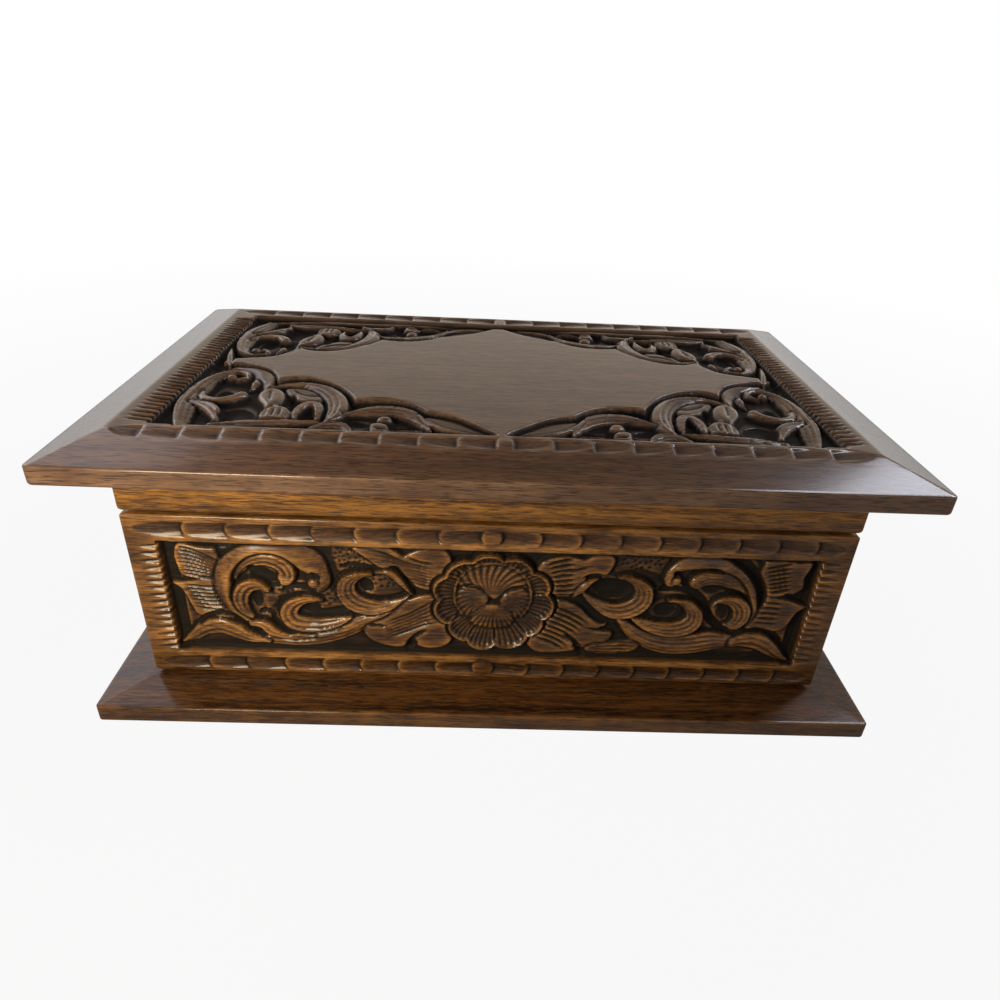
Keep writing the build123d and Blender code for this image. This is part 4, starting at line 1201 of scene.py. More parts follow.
class Shell:
    """Points and faces of one closed piece, gathered in millimetres."""

    def __init__(self) -> None:
        """Starts empty."""
        self.points: list[np.ndarray] = []
        self.wear: list[np.ndarray] = []
        self.hollow: list[np.ndarray] = []
        self.faces: list[list[int]] = []
        self.map: list[np.ndarray] = []
        self.count = 0

    def add(self, points: np.ndarray, wear: np.ndarray | float = 0.0,
            hollow: np.ndarray | float = 0.0) -> np.ndarray:
        """Adds points.

        Args:
            points: An array of places whose last axis is x, y, z.
            wear: How worn each point is.
            hollow: How deep in a hollow each point is, which the finish paints dark as shade and dark stain.

        Returns:
            The points' numbers, in the same arrangement.
        """
        shape = points.shape[:-1]
        self.points.append(points.reshape(-1, 3))
        self.wear.append(np.broadcast_to(wear, shape).ravel())
        self.hollow.append(np.broadcast_to(hollow, shape).ravel())
        numbers = np.arange(self.count, self.count + int(np.prod(shape))).reshape(shape)
        self.count += numbers.size
        return numbers

    def quads(self, numbers: np.ndarray, places: np.ndarray, keep: np.ndarray | None = None) -> None:
        """Spans a grid of points with four-sided faces.

        Args:
            numbers: The points' numbers in rows and columns.
            places: Each point's place on the texture map.
            keep: Which faces to make, or all of them.
        """
        here, there = slice(None, -1), slice(1, None)
        corners = (here, here), (here, there), (there, there), (there, here)
        face = np.stack([numbers[c] for c in corners], -1).reshape(-1, 4)
        place = np.stack([places[c] for c in corners], -2).reshape(-1, 4, 2)
        if keep is not None:
            face, place = face[keep.ravel()], place[keep.ravel()]
        self.faces.extend(face.tolist())
        self.map.append(place.reshape(-1, 2))

    def polygon(self, numbers: Sequence[int], places: np.ndarray) -> None:
        """Adds one many-sided face.

        Args:
            numbers: Its points' numbers in order.
            places: Their places on the texture map.
        """
        self.faces.append([int(n) for n in numbers])
        self.map.append(np.asarray(places, float).reshape(-1, 2))

    def build(self, name: str, crisp: float = 50.0) -> bpy.types.Object:
        """Makes the object.

        Args:
            name: The piece's name.
            crisp: Edges that turn by more than this many degrees stay sharp.

        Returns:
            The new object, in metres.
        """
        mesh = bpy.data.meshes.new(name)
        mesh.from_pydata((np.concatenate(self.points) * MM).tolist(), [], self.faces)
        layer = mesh.uv_layers.new(name="OFBake")
        layer.data.foreach_set("uv", np.concatenate(self.map).ravel().astype(np.float32))
        # the hollow attribute carries painted shade and dark stain for the finish
        for label, values in (("wear", self.wear), ("hollow", self.hollow)):
            attribute = mesh.attributes.new(label, "FLOAT", "POINT")
            attribute.data.foreach_set("value", np.concatenate(values).astype(np.float32))
        return finished(name, mesh, crisp)


def finished(name: str, mesh: bpy.types.Mesh, crisp: float = 50.0) -> bpy.types.Object:
    """Turns a closed mesh into an object with outward faces and smooth shading.

    Args:
        name: The piece's name.
        mesh: Its mesh.
        crisp: Edges that turn by more than this many degrees stay sharp.

    Returns:
        The new object.
    """
    work = bmesh.new()
    work.from_mesh(mesh)
    bmesh.ops.recalc_face_normals(work, faces=work.faces)
    work.to_mesh(mesh)
    work.free()
    mesh.shade_smooth()
    mesh.set_sharp_from_angle(angle=math.radians(crisp))
    mesh.validate()
    obj = bpy.data.objects.new(name, mesh)
    bpy.context.scene.collection.objects.link(obj)
    return obj


def arc(radius: float, first: float, last: float, steps: int) -> list[Point]:
    """Returns points of an arc round the origin.

    Args:
        radius: The arc's radius.
        first: Its first angle in degrees.
        last: Its last angle in degrees.
        steps: How many steps it has.

    Returns:
        The points.
    """
    turns = np.radians(np.linspace(first, last, steps + 1))
    return [(radius * math.cos(a), radius * math.sin(a)) for a in turns]


def box_of(node: str) -> tuple[np.ndarray, np.ndarray]:
    """Returns a frame node's lowest and highest corners in millimetres."""
    low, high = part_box(node)
    return np.array(low) / MM, np.array(high) / MM


def settle(obj: bpy.types.Object, body: str, slot: str, finish: "Finish", *nodes: str) -> None:
    """Puts a finished piece on its body in place of its nodes.

    Args:
        obj: The piece.
        body: The body that it rides on.
        slot: The record's material slot; not used.
        finish: Its finish.
        nodes: The frame nodes that it stands for.
    """
    obj.data.materials.clear()
    obj.data.materials.append(finish.material())
    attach(obj, body)
    if nodes:
        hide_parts(*nodes)
    log.info("%s on %s, %d faces", obj.name, body, len(obj.data.polygons))


class Side(Enum):
    """A side of the box: the way along it seen from outside, and the way in."""

    FRONT = ((1, 0), (0, 1))
    RIGHT = ((0, 1), (-1, 0))
    BACK = ((-1, 0), (0, -1))
    LEFT = ((0, -1), (1, 0))

    @property
    def along(self) -> np.ndarray:
        """The direction from left to right, seen from outside."""
        return np.array([*self.value[0], 0], float)

    @property
    def inward(self) -> np.ndarray:
        """The direction into the box."""
        return np.array([*self.value[1], 0], float)


@dataclass
class MitredMember:
    """A wall or rail with mitred ends and, where it is carved, a carved outer face."""

    node: str
    side: Side
    foot_radius: float
    lip_radius: float
    ornament: WallOrnament | None = None
    carved_pitch: float = 0.47
    plain_pitch: float = 6.0
    foot_steps: int = 6
    lip_steps: int = 4
    end_wear: Point = (0.12, 0.9)
    lip_wear: Point = (0.15, 0.7)

    def __post_init__(self) -> None:
        """Reads the member's sizes from its node."""
        low, high = box_of(self.node)
        self.pitch = self.carved_pitch if self.ornament else self.plain_pitch
        self.bottom, self.top = float(low[2]), float(high[2])
        self.half = float(np.abs((high - low) * self.side.along).sum()) / 2
        self.thickness = float(np.abs((high - low) * self.side.inward).sum())
        self.outer = float(-min(low @ self.side.inward, high @ self.side.inward))

    def rows(self) -> tuple[np.ndarray, np.ndarray]:
        """Returns the levels of the outer face's rows and how far each is rounded in.

        The rows of the foot run down it, so the underside slopes up behind them.
        """
        foot, lip = self.foot_radius, self.lip_radius
        low = [(foot - x, self.bottom + (foot - z)) for z, x in reversed(arc(foot, 0, 90, self.foot_steps))]
        high = [(lip - x, self.top + (z - lip)) for x, z in arc(lip, 0, 90, self.lip_steps)]
        start, end = self.bottom + foot, self.top - lip
        even = np.linspace(start, end, max(2, round((end - start) / self.pitch) + 1))
        rows = [*(low[:-1] if foot else []), *((0.0, z) for z in even), *(high[1:] if lip else [])]
        inset, levels = np.array(rows).T
        return levels, inset

    def surface(self, x: np.ndarray, z: np.ndarray, inset: np.ndarray) -> tuple[np.ndarray, ...]:
        """Carves and wears the outer face.

        Args:
            x: How far along the member each point lies.
            z: Its level.
            inset: How far its row is rounded in.

        Returns:
            The points' heights, their wear and their painted shade.
        """
        share, spread = self.end_wear
        edge = share * np.exp(-(((self.half - np.abs(x)) / spread) ** 2))
        share, spread = self.lip_wear
        edge += share * np.exp(-(((self.top - self.lip_radius - z) / spread) ** 2))
        # rows rounded in at the foot and lip are painted darker, as shade under the rounding
        rounding_shade = np.clip(inset / max(self.foot_radius, self.lip_radius) - 0.25, 0, 0.75)[:, None] + 0 * x
        if not self.ornament:
            return np.zeros_like(x), edge, rounding_shade
        relief = carved(x, z, self.pitch, self.ornament.cuts())
        return relief.h, relief.wear() + edge, np.maximum(relief.hollow(), rounding_shade)

    def build(self) -> bpy.types.Object:
        """Makes the member.

        Returns:
            The new object.
        """
        levels, inset = self.rows()
        across = np.linspace(-self.half, self.half, round(2 * self.half / self.pitch) + 1)
        x, z = np.meshgrid(across, levels)
        height, wear, hollow = self.surface(x, z, inset)
        shell = Shell()
        depth = inset[:, None] - height
        face = shell.add(self.placed(x * (1 - inset[:, None] / self.half), depth, z), wear, hollow)
        inner = np.array([[self.top], [self.bottom]])
        x_in = np.vstack([across, across]) * (1 - self.thickness / self.half)
        # the inner face is painted half dark, as shade inside the box
        back = shell.add(self.placed(x_in, np.full_like(x_in, self.thickness), inner + 0 * x_in), hollow=0.5)
        ring = np.vstack([face, back, face[:1]])
        tall = self.top - self.bottom
        run = np.cumsum([0, *np.full(len(levels) - 1, tall / (len(levels) - 1)),
                         self.thickness, 0.4 * tall, self.thickness])
        scale = MAP_FILL / (2 * self.half)
        shell.quads(ring, chart(MAP_EDGE + scale * (across + self.half), MAP_EDGE + scale * run))
        above = 0.03 + scale * run[-1]
        for column, shift in ((0, 0.02), (-1, 0.3)):
            d = np.array([*depth[:, column], self.thickness, self.thickness])
            h = np.array([*levels, self.top, self.bottom])
            flat = np.column_stack([shift + scale * (h - self.bottom), above + scale * d])
            shell.polygon(ring[:-1, column], flat)
        return shell.build(self.node.replace("_wall", "_wall_board"))

    def placed(self, x: np.ndarray, depth: np.ndarray, z: np.ndarray) -> np.ndarray:
        """Puts places on the member into the box's axes.

        Args:
            x: How far along the member.
            depth: How far in from its outer face.
            z: The level.

        Returns:
            The places.
        """
        flat = x[..., None] * self.side.along + (depth[..., None] - self.outer) * self.side.inward
        flat[..., 2] = z
        return flat


def rounded(edge: np.ndarray, old: Point, new: Point, radius: float, reach: float) -> np.ndarray:
    """Moves a rectangle's edge points to a rectangle with round corners.

    Args:
        edge: Points on the old rectangle's edge.
        old: The old rectangle's half sizes.
        new: The new rectangle's half sizes.
        radius: The new corner radius.
        reach: How far from an old corner points go to the round one.

    Returns:
        The moved points.
    """
    x, y = edge[:, 0], edge[:, 1]
    level_side = np.abs(np.abs(y) - old[1]) < SAME
    result = np.empty_like(edge)
    for rows, a, b in ((level_side, 0, 1), (~level_side, 1, 0)):
        t, other = edge[rows, a], edge[rows, b]
        straight = old[a] - reach
        turn = np.clip(np.abs(t) - straight, 0, reach) / reach * math.pi / 4
        on_side = np.clip(t / straight, -1, 1) * (new[a] - radius)
        result[rows, a] = on_side + np.sign(t) * radius * np.sin(turn)
        result[rows, b] = np.sign(other) * (new[b] - radius + radius * np.cos(turn))
    return result


@dataclass
class BevelledBoard:
    """A board with a wide bevel, swept round its edge in loops."""

    node: str
    bevel: float
    edge: float
    corner_radius: float
    under_radius: float
    arris_ease: float
    bevel_steps: int = 6
    arris_steps: int = 4
    under_steps: int = 6
    arris_wear: float = 0.45
    edge_wear: float = 0.3
    under_wear: float = 0.05
    corner_wear: Point = (0.5, 2.5)
    corner_reach: float = 5.0

    def __post_init__(self) -> None:
        """Reads the board's sizes from its node."""
        low, high = box_of(self.node)
        self.half_x, self.half_y = float(high[0]), float(high[1])
        self.bottom, self.top = float(low[2]), float(high[2])

    def profile(self, start: float) -> list[tuple[float, float, float, float]]:
        """Returns the loops from the bevel to the underside.

        Args:
            start: How far out on the bevel the first loop lies.

        Returns:
            For each loop its inset from the outer edge, its level, its corner radius and its wear.
        """
        slope = math.atan2(self.top - self.bottom - self.edge, self.bevel)
        ease, under = self.arris_ease, self.under_radius
        tangent = ease * math.tan((math.pi / 2 - slope) / 2)
        last = self.bevel - tangent * math.cos(slope) - 0.9
        loops = [(self.bevel - out, self.top - out * math.tan(slope), 0.0)
                 for out in np.linspace(start, last, self.bevel_steps + 1)[1:]]
        centre = self.bottom + self.edge - tangent
        for turn in np.linspace(math.pi / 2 - slope, 0, self.arris_steps + 1):
            loops.append((ease - ease * math.cos(turn), centre + ease * math.sin(turn), self.arris_wear))
        loops.append((0.0, centre - 0.8, self.edge_wear))
        for turn in np.linspace(0, math.pi / 2, self.under_steps + 1):
            wear = self.edge_wear if turn < 1.2 else self.under_wear
            loops.append((under - under * math.cos(turn), self.bottom + under - under * math.sin(turn), wear))
        return [(inset, level, self.corner_at(inset, level), wear) for inset, level, wear in loops]

    def corner_at(self, inset: float, level: float) -> float:
        """Returns the corner radius of a loop."""
        if level > self.bottom + self.under_radius:
            return self.corner_radius * (1 - inset / self.bevel)
        return max(self.corner_radius - inset, 0.8)

    def worn(self, edge: np.ndarray, old: Point, wear: float) -> np.ndarray:
        """Returns the wear of a loop's points, which rises towards its corners.

        Args:
            edge: The points round the flat top.
            old: The top's half sizes.
            wear: The loop's own wear.

        Returns:
            The wear of each point.
        """
        share, spread = self.corner_wear
        away = np.hypot(old[0] - np.abs(edge[:, 0]), old[1] - np.abs(edge[:, 1]))
        return np.maximum(wear, share * np.exp(-((away / spread) ** 2)))


@dataclass
class CarvedLid(BevelledBoard):
    """The lid board: a carved top, wide bevels and a rounded underside."""

    ornament: LidOrnament = LidOrnament()
    pitch: float = 0.6
    margin: float = 4.5
    arris_blend: float = 1.2
    block: int = 8
    map_size: float = 330.0
    map_edge: float = 0.005

    def base_level(self, x: np.ndarray, y: np.ndarray) -> np.ndarray:
        """Returns the uncarved top's level, flat in the middle and falling along the bevels."""
        slope = (self.top - self.bottom - self.edge) / self.bevel
        out = np.maximum(np.abs(x) - (self.half_x - self.bevel), np.abs(y) - (self.half_y - self.bevel))
        w = self.arris_blend
        eased = np.where(out < -w, 0, np.where(out > w, out, (out + w) ** 2 / (4 * w)))
        return self.top - slope * eased

    def steps(self, reach: float) -> np.ndarray:
        """Returns the grid's lines across the top, a whole number of blocks."""
        return np.linspace(-reach, reach, round(2 * reach / self.pitch / self.block) * self.block + 1)

    def build(self) -> bpy.types.Object:
        """Makes the lid board.

        Returns:
            The new object.
        """
        reach_x = self.half_x - self.bevel + self.margin
        reach_y = self.half_y - self.bevel + self.margin
        across, deep = self.steps(reach_x), self.steps(reach_y)
        x, y = np.meshgrid(across, deep)
        relief = carved(x, y, self.pitch, self.ornament.cuts())
        # the hollow mask is painted shade and dark stain
        wear, hollow = relief.wear(), relief.hollow()
        level = self.base_level(x, y) + relief.h
        shell = Shell()
        ground = np.stack([x, y, level], -1)
        top = shell.add(ground, wear, hollow)
        scale = 1 / self.map_size
        places = chart(self.map_edge + scale * (across + reach_x), self.map_edge + scale * (deep + reach_y))
        keep = self.merge_flat(shell, top, places, level, wear + hollow)
        shell.quads(top, places, keep)
        self.sweep(shell, border(top), border(ground), (reach_x, reach_y), scale)
        return shell.build("lid_top_board")

    def merge_flat(self, shell: Shell, top: np.ndarray, places: np.ndarray, level: np.ndarray,
                   marks: np.ndarray) -> np.ndarray:
        """Spans flat blocks of the top with one face each.

        Args:
            shell: The lid's shell.
            top: The grid's point numbers.
            places: Its places on the texture map.
            level: Its levels.
            marks: Where wear or painted shade shows.

        Returns:
            Which of the grid's small faces are still needed.
        """
        keep = np.ones((top.shape[0] - 1, top.shape[1] - 1), bool)
        n = self.block
        for i in range(0, keep.shape[0], n):
            for j in range(0, keep.shape[1], n):
                part = slice(i, i + n + 1), slice(j, j + n + 1)
                if np.ptp(level[part]) > SAME or marks[part].max() > 0.02:
                    continue
                keep[i : i + n, j : j + n] = False
                shell.polygon(border(top[part]), border(places[part]))
        return keep

    def sweep(self, shell: Shell, rim: np.ndarray, edge: np.ndarray, old: Point, scale: float) -> None:
        """Adds the bevels, the edge and the underside as loops round the grid.

        Args:
            shell: The lid's shell.
            rim: The point numbers round the grid.
            edge: The same points.
            old: The grid's half sizes.
            scale: The texture map's scale.
        """
        loops, flat_loops, run = [rim], [edge], [0.0]
        for inset, level, radius, wear in self.profile(self.margin):
            new = (self.half_x - inset, self.half_y - inset)
            plan = rounded(edge[:, :2], old, new, radius, self.corner_reach)
            loop = np.column_stack([plan, np.full(len(plan), level)])
            loops.append(shell.add(loop, self.worn(edge, old, wear)))
            gap = np.abs(loop - flat_loops[-1])
            run.append(run[-1] + float(np.hypot(gap[:, 1].max(), gap[:, 2].max())))
            flat_loops.append(loop)
        stack = np.stack(loops)
        stack = np.concatenate([stack, stack[:, :1]], 1)
        plan = np.concatenate([edge, edge[:1]])
        count_x = int((np.abs(edge[:, 1] + old[1]) < SAME).sum()) - 1
        count_y = len(rim) // 2 - count_x
        start, shelf = 0, self.map_edge + scale * (2 * old[1] + 4)
        for side, count in enumerate((count_x, count_y, count_x, count_y)):
            part = slice(start, start + count + 1)
            way = plan[part, side % 2]
            up = shelf + side * scale * (run[-1] + 3) + scale * np.array(run)
            shell.quads(stack[:, part], chart(self.map_edge + scale * np.abs(way - way[0]), up))
            start += count
        shrink = 0.15 * scale
        shell.polygon(loops[-1], np.array([0.92, 0.06]) + shrink * flat_loops[-1][:, :2])


@dataclass
class BaseBoard(BevelledBoard):
    """The base board: a low bevel round the walls and a flat underside."""

    pitch: float = 3.0
    corner_steps: int = 6
    loop_gap: float = 2.5

    def build(self) -> bpy.types.Object:
        """Makes the base board.

        Returns:
            The new object.
        """
        old = (self.half_x - self.bevel, self.half_y - self.bevel)
        edge = self.edge_points(old)
        shell = Shell()
        first = np.column_stack([edge, np.full(len(edge), self.top)])
        loops, run = [shell.add(first)], [0.0]
        for inset, level, radius, wear in self.profile(0.0):
            plan = rounded(edge, old, (self.half_x - inset, self.half_y - inset), radius, self.corner_reach)
            loop = np.column_stack([plan, np.full(len(plan), level)])
            loops.append(shell.add(loop, self.worn(edge, old, wear)))
            run.append(run[-1] + self.loop_gap)
        stack = np.stack(loops)
        stack = np.concatenate([stack, stack[:, :1]], 1)
        walk = np.concatenate([edge, edge[:1]])
        length = np.concatenate([[0.0], np.cumsum(np.hypot(*np.diff(walk, axis=0).T))])
        scale = MAP_FILL / length[-1]
        shell.quads(stack, chart(MAP_EDGE + scale * length, MAP_EDGE + scale * np.array(run)))
        size = 0.42 / (2 * self.half_x)
        for loop, middle in ((loops[0], 0.25), (loops[-1], 0.7)):
            flat = np.concatenate(shell.points)[loop][:, :2]
            shell.polygon(loop, np.array([middle, 0.5]) + size * flat)
        return shell.build("base_bevelled_board")

    def edge_points(self, old: Point) -> np.ndarray:
        """Returns points round a rectangle, close together near its corners.

        Args:
            old: The rectangle's half sizes.

        Returns:
            The points, from the front left corner round by the right.
        """
        sides = []
        for half in old:
            inner = half - self.corner_reach
            middle = np.linspace(-inner, inner, round(2 * inner / self.pitch) + 1)
            ends = np.linspace(inner, half, self.corner_steps + 1)[1:]
            sides.append(np.concatenate([-ends[::-1], middle, ends]))
        xs, ys = sides
        front = np.column_stack([xs[:-1], np.full(len(xs) - 1, -old[1])])
        right = np.column_stack([np.full(len(ys) - 1, old[0]), ys[:-1]])
        return np.concatenate([front, right, -front, -right])


@dataclass
class VelvetPad:
    """A lining board wrapped in velvet: a flat back and a softly crowned face with rolled edges."""

    node: str
    face: Vector
    seed: int
    roll: float = 1.5
    pitch: float = 1.6
    rim_share: float = 0.35
    rise_share: float = 0.5
    sag: float = 0.35
    sag_reach: float = 9.0
    slack: float = 0.12
    slack_spread: float = 3.0
    proud: float = 0.1

    def build(self) -> bpy.types.Object:
        """Makes the pad.

        Returns:
            The new object.
        """
        low, high = box_of(self.node)
        normal = np.array(self.face, float)
        axis = int(np.argmax(np.abs(normal)))
        others = [a for a in range(3) if a != axis]
        size = (high - low)[others]
        back = low[axis] if normal[axis] > 0 else high[axis]
        lift = float((high - low)[axis])
        counts = [max(6, round(s / self.pitch)) for s in size]
        u, v = np.meshgrid(np.linspace(0, 1, counts[0] + 1), np.linspace(0, 1, counts[1] + 1))
        into = np.minimum(np.minimum(u, 1 - u) * size[0], np.minimum(v, 1 - v) * size[1])
        round_edge = np.sqrt(np.clip(1 - (1 - np.clip(into / self.roll, 0, 1)) ** 2, 0, 1))
        crowned = 1 - self.sag * np.exp(-into / self.sag_reach)
        draws = np.random.default_rng(self.seed)
        slack = blurred(draws.normal(size=u.shape), self.slack_spread)
        slack *= self.slack / max(float(np.abs(slack).max()), SAME)
        crown = (1 - self.rim_share - self.rise_share) * lift
        height = lift * (self.rim_share + self.rise_share * round_edge)
        height = np.minimum(height + (crown * crowned + slack) * round_edge, lift + self.proud)
        shell = Shell()
        rows = np.empty((*u.shape, 3))
        rows[..., others[0]] = low[others[0]] + u * size[0]
        rows[..., others[1]] = low[others[1]] + v * size[1]
        rows[..., axis] = back + np.sign(normal[axis]) * height
        face = shell.add(rows)
        scale = 0.9 / max(size)
        places = np.stack([0.02 + scale * u * size[0], 0.02 + scale * v * size[1]], -1)
        shell.quads(face, places)
        rim = border(face)
        flat = np.concatenate(shell.points)[rim].copy()
        flat[:, axis] = back
        foot = shell.add(flat)
        ring = np.stack([np.append(rim, rim[0]), np.append(foot, foot[0])])
        along_rim = np.linspace(0.02, 0.98, ring.shape[1])
        shell.quads(ring, chart(along_rim, np.array([0.95, 0.97])))
        shell.polygon(foot, np.column_stack([np.linspace(0.02, 0.9, len(foot)), np.full(len(foot), 0.985)]))
        obj = shell.build(self.node.replace("_lining", "_velvet_pad"), crisp=70)
        return obj


# Finishes

Value = bpy.types.NodeSocket | float | tuple[float, ...]


class Tree:
    """A node tree that is built by short calls."""

    def __init__(self, tree: bpy.types.NodeTree) -> None:
        """Wraps a node tree."""
        self.tree = tree

    def node(self, kind: str, **settings: object) -> bpy.types.Node:
        """Adds a node and sets its properties."""
        made = self.tree.nodes.new(kind)
        for name, value in settings.items():
            setattr(made, name, value)
        return made

    def feed(self, socket: bpy.types.NodeSocket, value: Value) -> None:
        """Links or sets an input."""
        if isinstance(value, bpy.types.NodeSocket):
            self.tree.links.new(value, socket)
        else:
            socket.default_value = value

    def math(self, operation: str, first: Value, second: Value = 0.0) -> bpy.types.NodeSocket:
        """Returns the result of a Math node."""
        made = self.node("ShaderNodeMath", operation=operation)
        self.feed(made.inputs[0], first)
        self.feed(made.inputs[1], second)
        return made.outputs[0]

    def mix(self, factor: Value, first: Value, second: Value, blend: str = "MIX") -> bpy.types.NodeSocket:
        """Returns two colours mixed."""
        made = self.node("ShaderNodeMix", data_type="RGBA", blend_type=blend)
        for index, value in ((0, factor), (6, first), (7, second)):
            self.feed(made.inputs[index], value)
        return made.outputs[2]

    def ramp(self, value: Value, *stops: tuple[float, float]) -> bpy.types.NodeSocket:
        """Returns a value passed through a ramp of grey stops, each a position and a level."""
        made = self.node("ShaderNodeValToRGB")
        elements = made.color_ramp.elements
        while len(elements) < len(stops):
            elements.new(1.0)
        for element, (position, level) in zip(elements, stops):
            element.position = position
            element.color = (level, level, level, 1)
        self.feed(made.inputs[0], value)
        return made.outputs[0]

    def weighted(self, first: Value, second: Value, share: float) -> bpy.types.NodeSocket:
        """Returns a share of the first value and the rest of the second."""
        return self.math("ADD", self.math("MULTIPLY", first, share), self.math("MULTIPLY", second, 1 - share))

    def bump(self, shader: bpy.types.Node, height: Value, strength: float, distance: float) -> None:
        """Feeds a shader's normal from a height."""
        made = self.node("ShaderNodeBump")
        made.inputs["Strength"].default_value = strength
        made.inputs["Distance"].default_value = distance
        self.feed(made.inputs["Height"], height)
        self.feed(shader.inputs["Normal"], made.outputs[0])

    def noise(self, vector: Value, scale: float, detail: float = 3.0, rough: float = 0.55,
              warp: float = 0.0) -> bpy.types.NodeSocket:
        """Returns a noise value from 0 to 1."""
        made = self.node("ShaderNodeTexNoise")
        self.feed(made.inputs["Vector"], vector)
        made.inputs["Scale"].default_value = scale
        made.inputs["Detail"].default_value = detail
        made.inputs["Roughness"].default_value = rough
        made.inputs["Distortion"].default_value = warp
        return made.outputs["Fac"]

    def stretched(self, vector: Value, scale: Triple) -> bpy.types.NodeSocket:
        """Returns coordinates scaled on each axis."""
        made = self.node("ShaderNodeMapping")
        self.feed(made.inputs["Vector"], vector)
        made.inputs["Scale"].default_value = scale
        return made.outputs[0]


def node_group(name: str, inputs: dict[str, str], outputs: dict[str, str]) -> tuple[Tree, dict, dict]:
    """Makes an empty shader node group with named sockets.

    Args:
        name: The group's name.
        inputs: Input names and whether each is Float, Vector or Color.
        outputs: Output names and kinds.

    Returns:
        The group's tree, the sockets that bring its inputs and those that take its outputs.
    """
    tree = bpy.data.node_groups.new(name, "ShaderNodeTree")
    for in_out, sockets in (("INPUT", inputs), ("OUTPUT", outputs)):
        for label, kind in sockets.items():
            tree.interface.new_socket(label, in_out=in_out, socket_type=f"NodeSocket{kind}")
    source = tree.nodes.new("NodeGroupInput")
    target = tree.nodes.new("NodeGroupOutput")
    return Tree(tree), {k: source.outputs[k] for k in inputs}, {k: target.inputs[k] for k in outputs}


def shared(name: str, build: Callable[[], bpy.types.NodeTree]) -> bpy.types.NodeTree:
    """Returns a node group, built on its first use."""
    return bpy.data.node_groups.get(name) or build()


def wood_grain() -> bpy.types.NodeTree:
    """Builds the grain group: streaks, figure and pores over coordinates stretched along the board."""
    tree, given, gives = node_group(
        "wood_grain", {"Vector": "Vector"}, {"Streaks": "Float", "Figure": "Float", "Pores": "Float"})
    at = given["Vector"]
    wander = tree.noise(tree.stretched(at, (0.5, 0.5, 0.5)), 1.0, 2.0)
    shifted = tree.node("ShaderNodeVectorMath", operation="ADD")
    tree.feed(shifted.inputs[0], at)
    tree.feed(shifted.inputs[1], tree.math("MULTIPLY", wander, 1.6))
    fine = tree.noise(tree.stretched(shifted.outputs[0], (4.5, 1.7, 1.7)), 1.0, 3.0, 0.7)
    broad = tree.noise(shifted.outputs[0], 0.6, 3.0, 0.5, 0.4)
    streaks = tree.weighted(fine, broad, 0.62)
    tree.feed(gives["Streaks"], tree.ramp(streaks, (0.43, 0.0), (0.57, 1.0)))
    tree.feed(gives["Figure"], tree.ramp(tree.noise(at, 0.22, 2.0, 0.5, 0.6), (0.38, 0.0), (0.62, 1.0)))
    pores = tree.noise(tree.stretched(at, (5.0, 3.0, 3.0)), 1.0, 1.0, 0.5)
    tree.feed(gives["Pores"], tree.ramp(pores, (0.54, 0.0), (0.64, 1.0)))
    return tree.tree


def wear_and_painted_shade() -> bpy.types.NodeTree:
    """Builds the group of wear and painted shade: masks for rubbed edges, painted shade with dark stain in
    hollows, and scratches.
    """
    tree, given, gives = node_group(
        "wear_and_painted_shade", {"Vector": "Vector"},
        {"Rubbed": "Float", "Hollow": "Float", "Patches": "Float", "Scratches": "Float"})
    at = given["Vector"]
    proud = tree.node("ShaderNodeAttribute", attribute_name="wear").outputs["Fac"]
    deep = tree.node("ShaderNodeAttribute", attribute_name="hollow").outputs["Fac"]
    patches = tree.noise(at, 55.0, 4.0, 0.6)
    uneven = tree.ramp(patches, (0.36, 0.15), (0.62, 1.0))
    rubbed = tree.math("MULTIPLY", tree.ramp(proud, (0.04, 0.0), (0.62, 1.0)), uneven)
    tree.feed(gives["Rubbed"], rubbed)
    # the Hollow mask is painted shade with dark stain, read from the mesh
    tree.feed(gives["Hollow"], tree.ramp(deep, (0.05, 0.0), (0.75, 1.0)))
    tree.feed(gives["Patches"], patches)
    lines = tree.noise(tree.stretched(at, (60.0, 1400.0, 700.0)), 1.0, 2.0, 0.5)
    spread = tree.noise(at, 26.0, 1.0)
    scratches = tree.math("MULTIPLY", tree.ramp(lines, (0.70, 0.0), (0.74, 1.0)),
                          tree.ramp(spread, (0.5, 0.0), (0.62, 1.0)))
    tree.feed(gives["Scratches"], scratches)
    return tree.tree


class Grain(Enum):
    """Which way the grain runs, as the stretch of the coordinates on each axis."""

    ALONG_X = (28.0, 620.0, 620.0)
    ALONG_Y = (620.0, 28.0, 620.0)


Colour = tuple[float, float, float, float]


@dataclass(frozen=True)
class Finish:
    """A named finish that gives one material."""

    name: str

    def material(self) -> bpy.types.Material:
        """Returns the finish's material, made on its first use."""
        made = bpy.data.materials.get(self.name)
        if made is None:
            made = bpy.data.materials.new(self.name)
            made.use_nodes = True
            made.node_tree.nodes.clear()
            tree = Tree(made.node_tree)
            shader = tree.node("ShaderNodeBsdfPrincipled")
            out = tree.node("ShaderNodeOutputMaterial")
            tree.feed(out.inputs["Surface"], shader.outputs[0])
            self.fill(tree, shader)
        return made

    def fill(self, tree: Tree, shader: bpy.types.Node) -> None:
        """Builds the nodes that feed the shader."""
        raise NotImplementedError


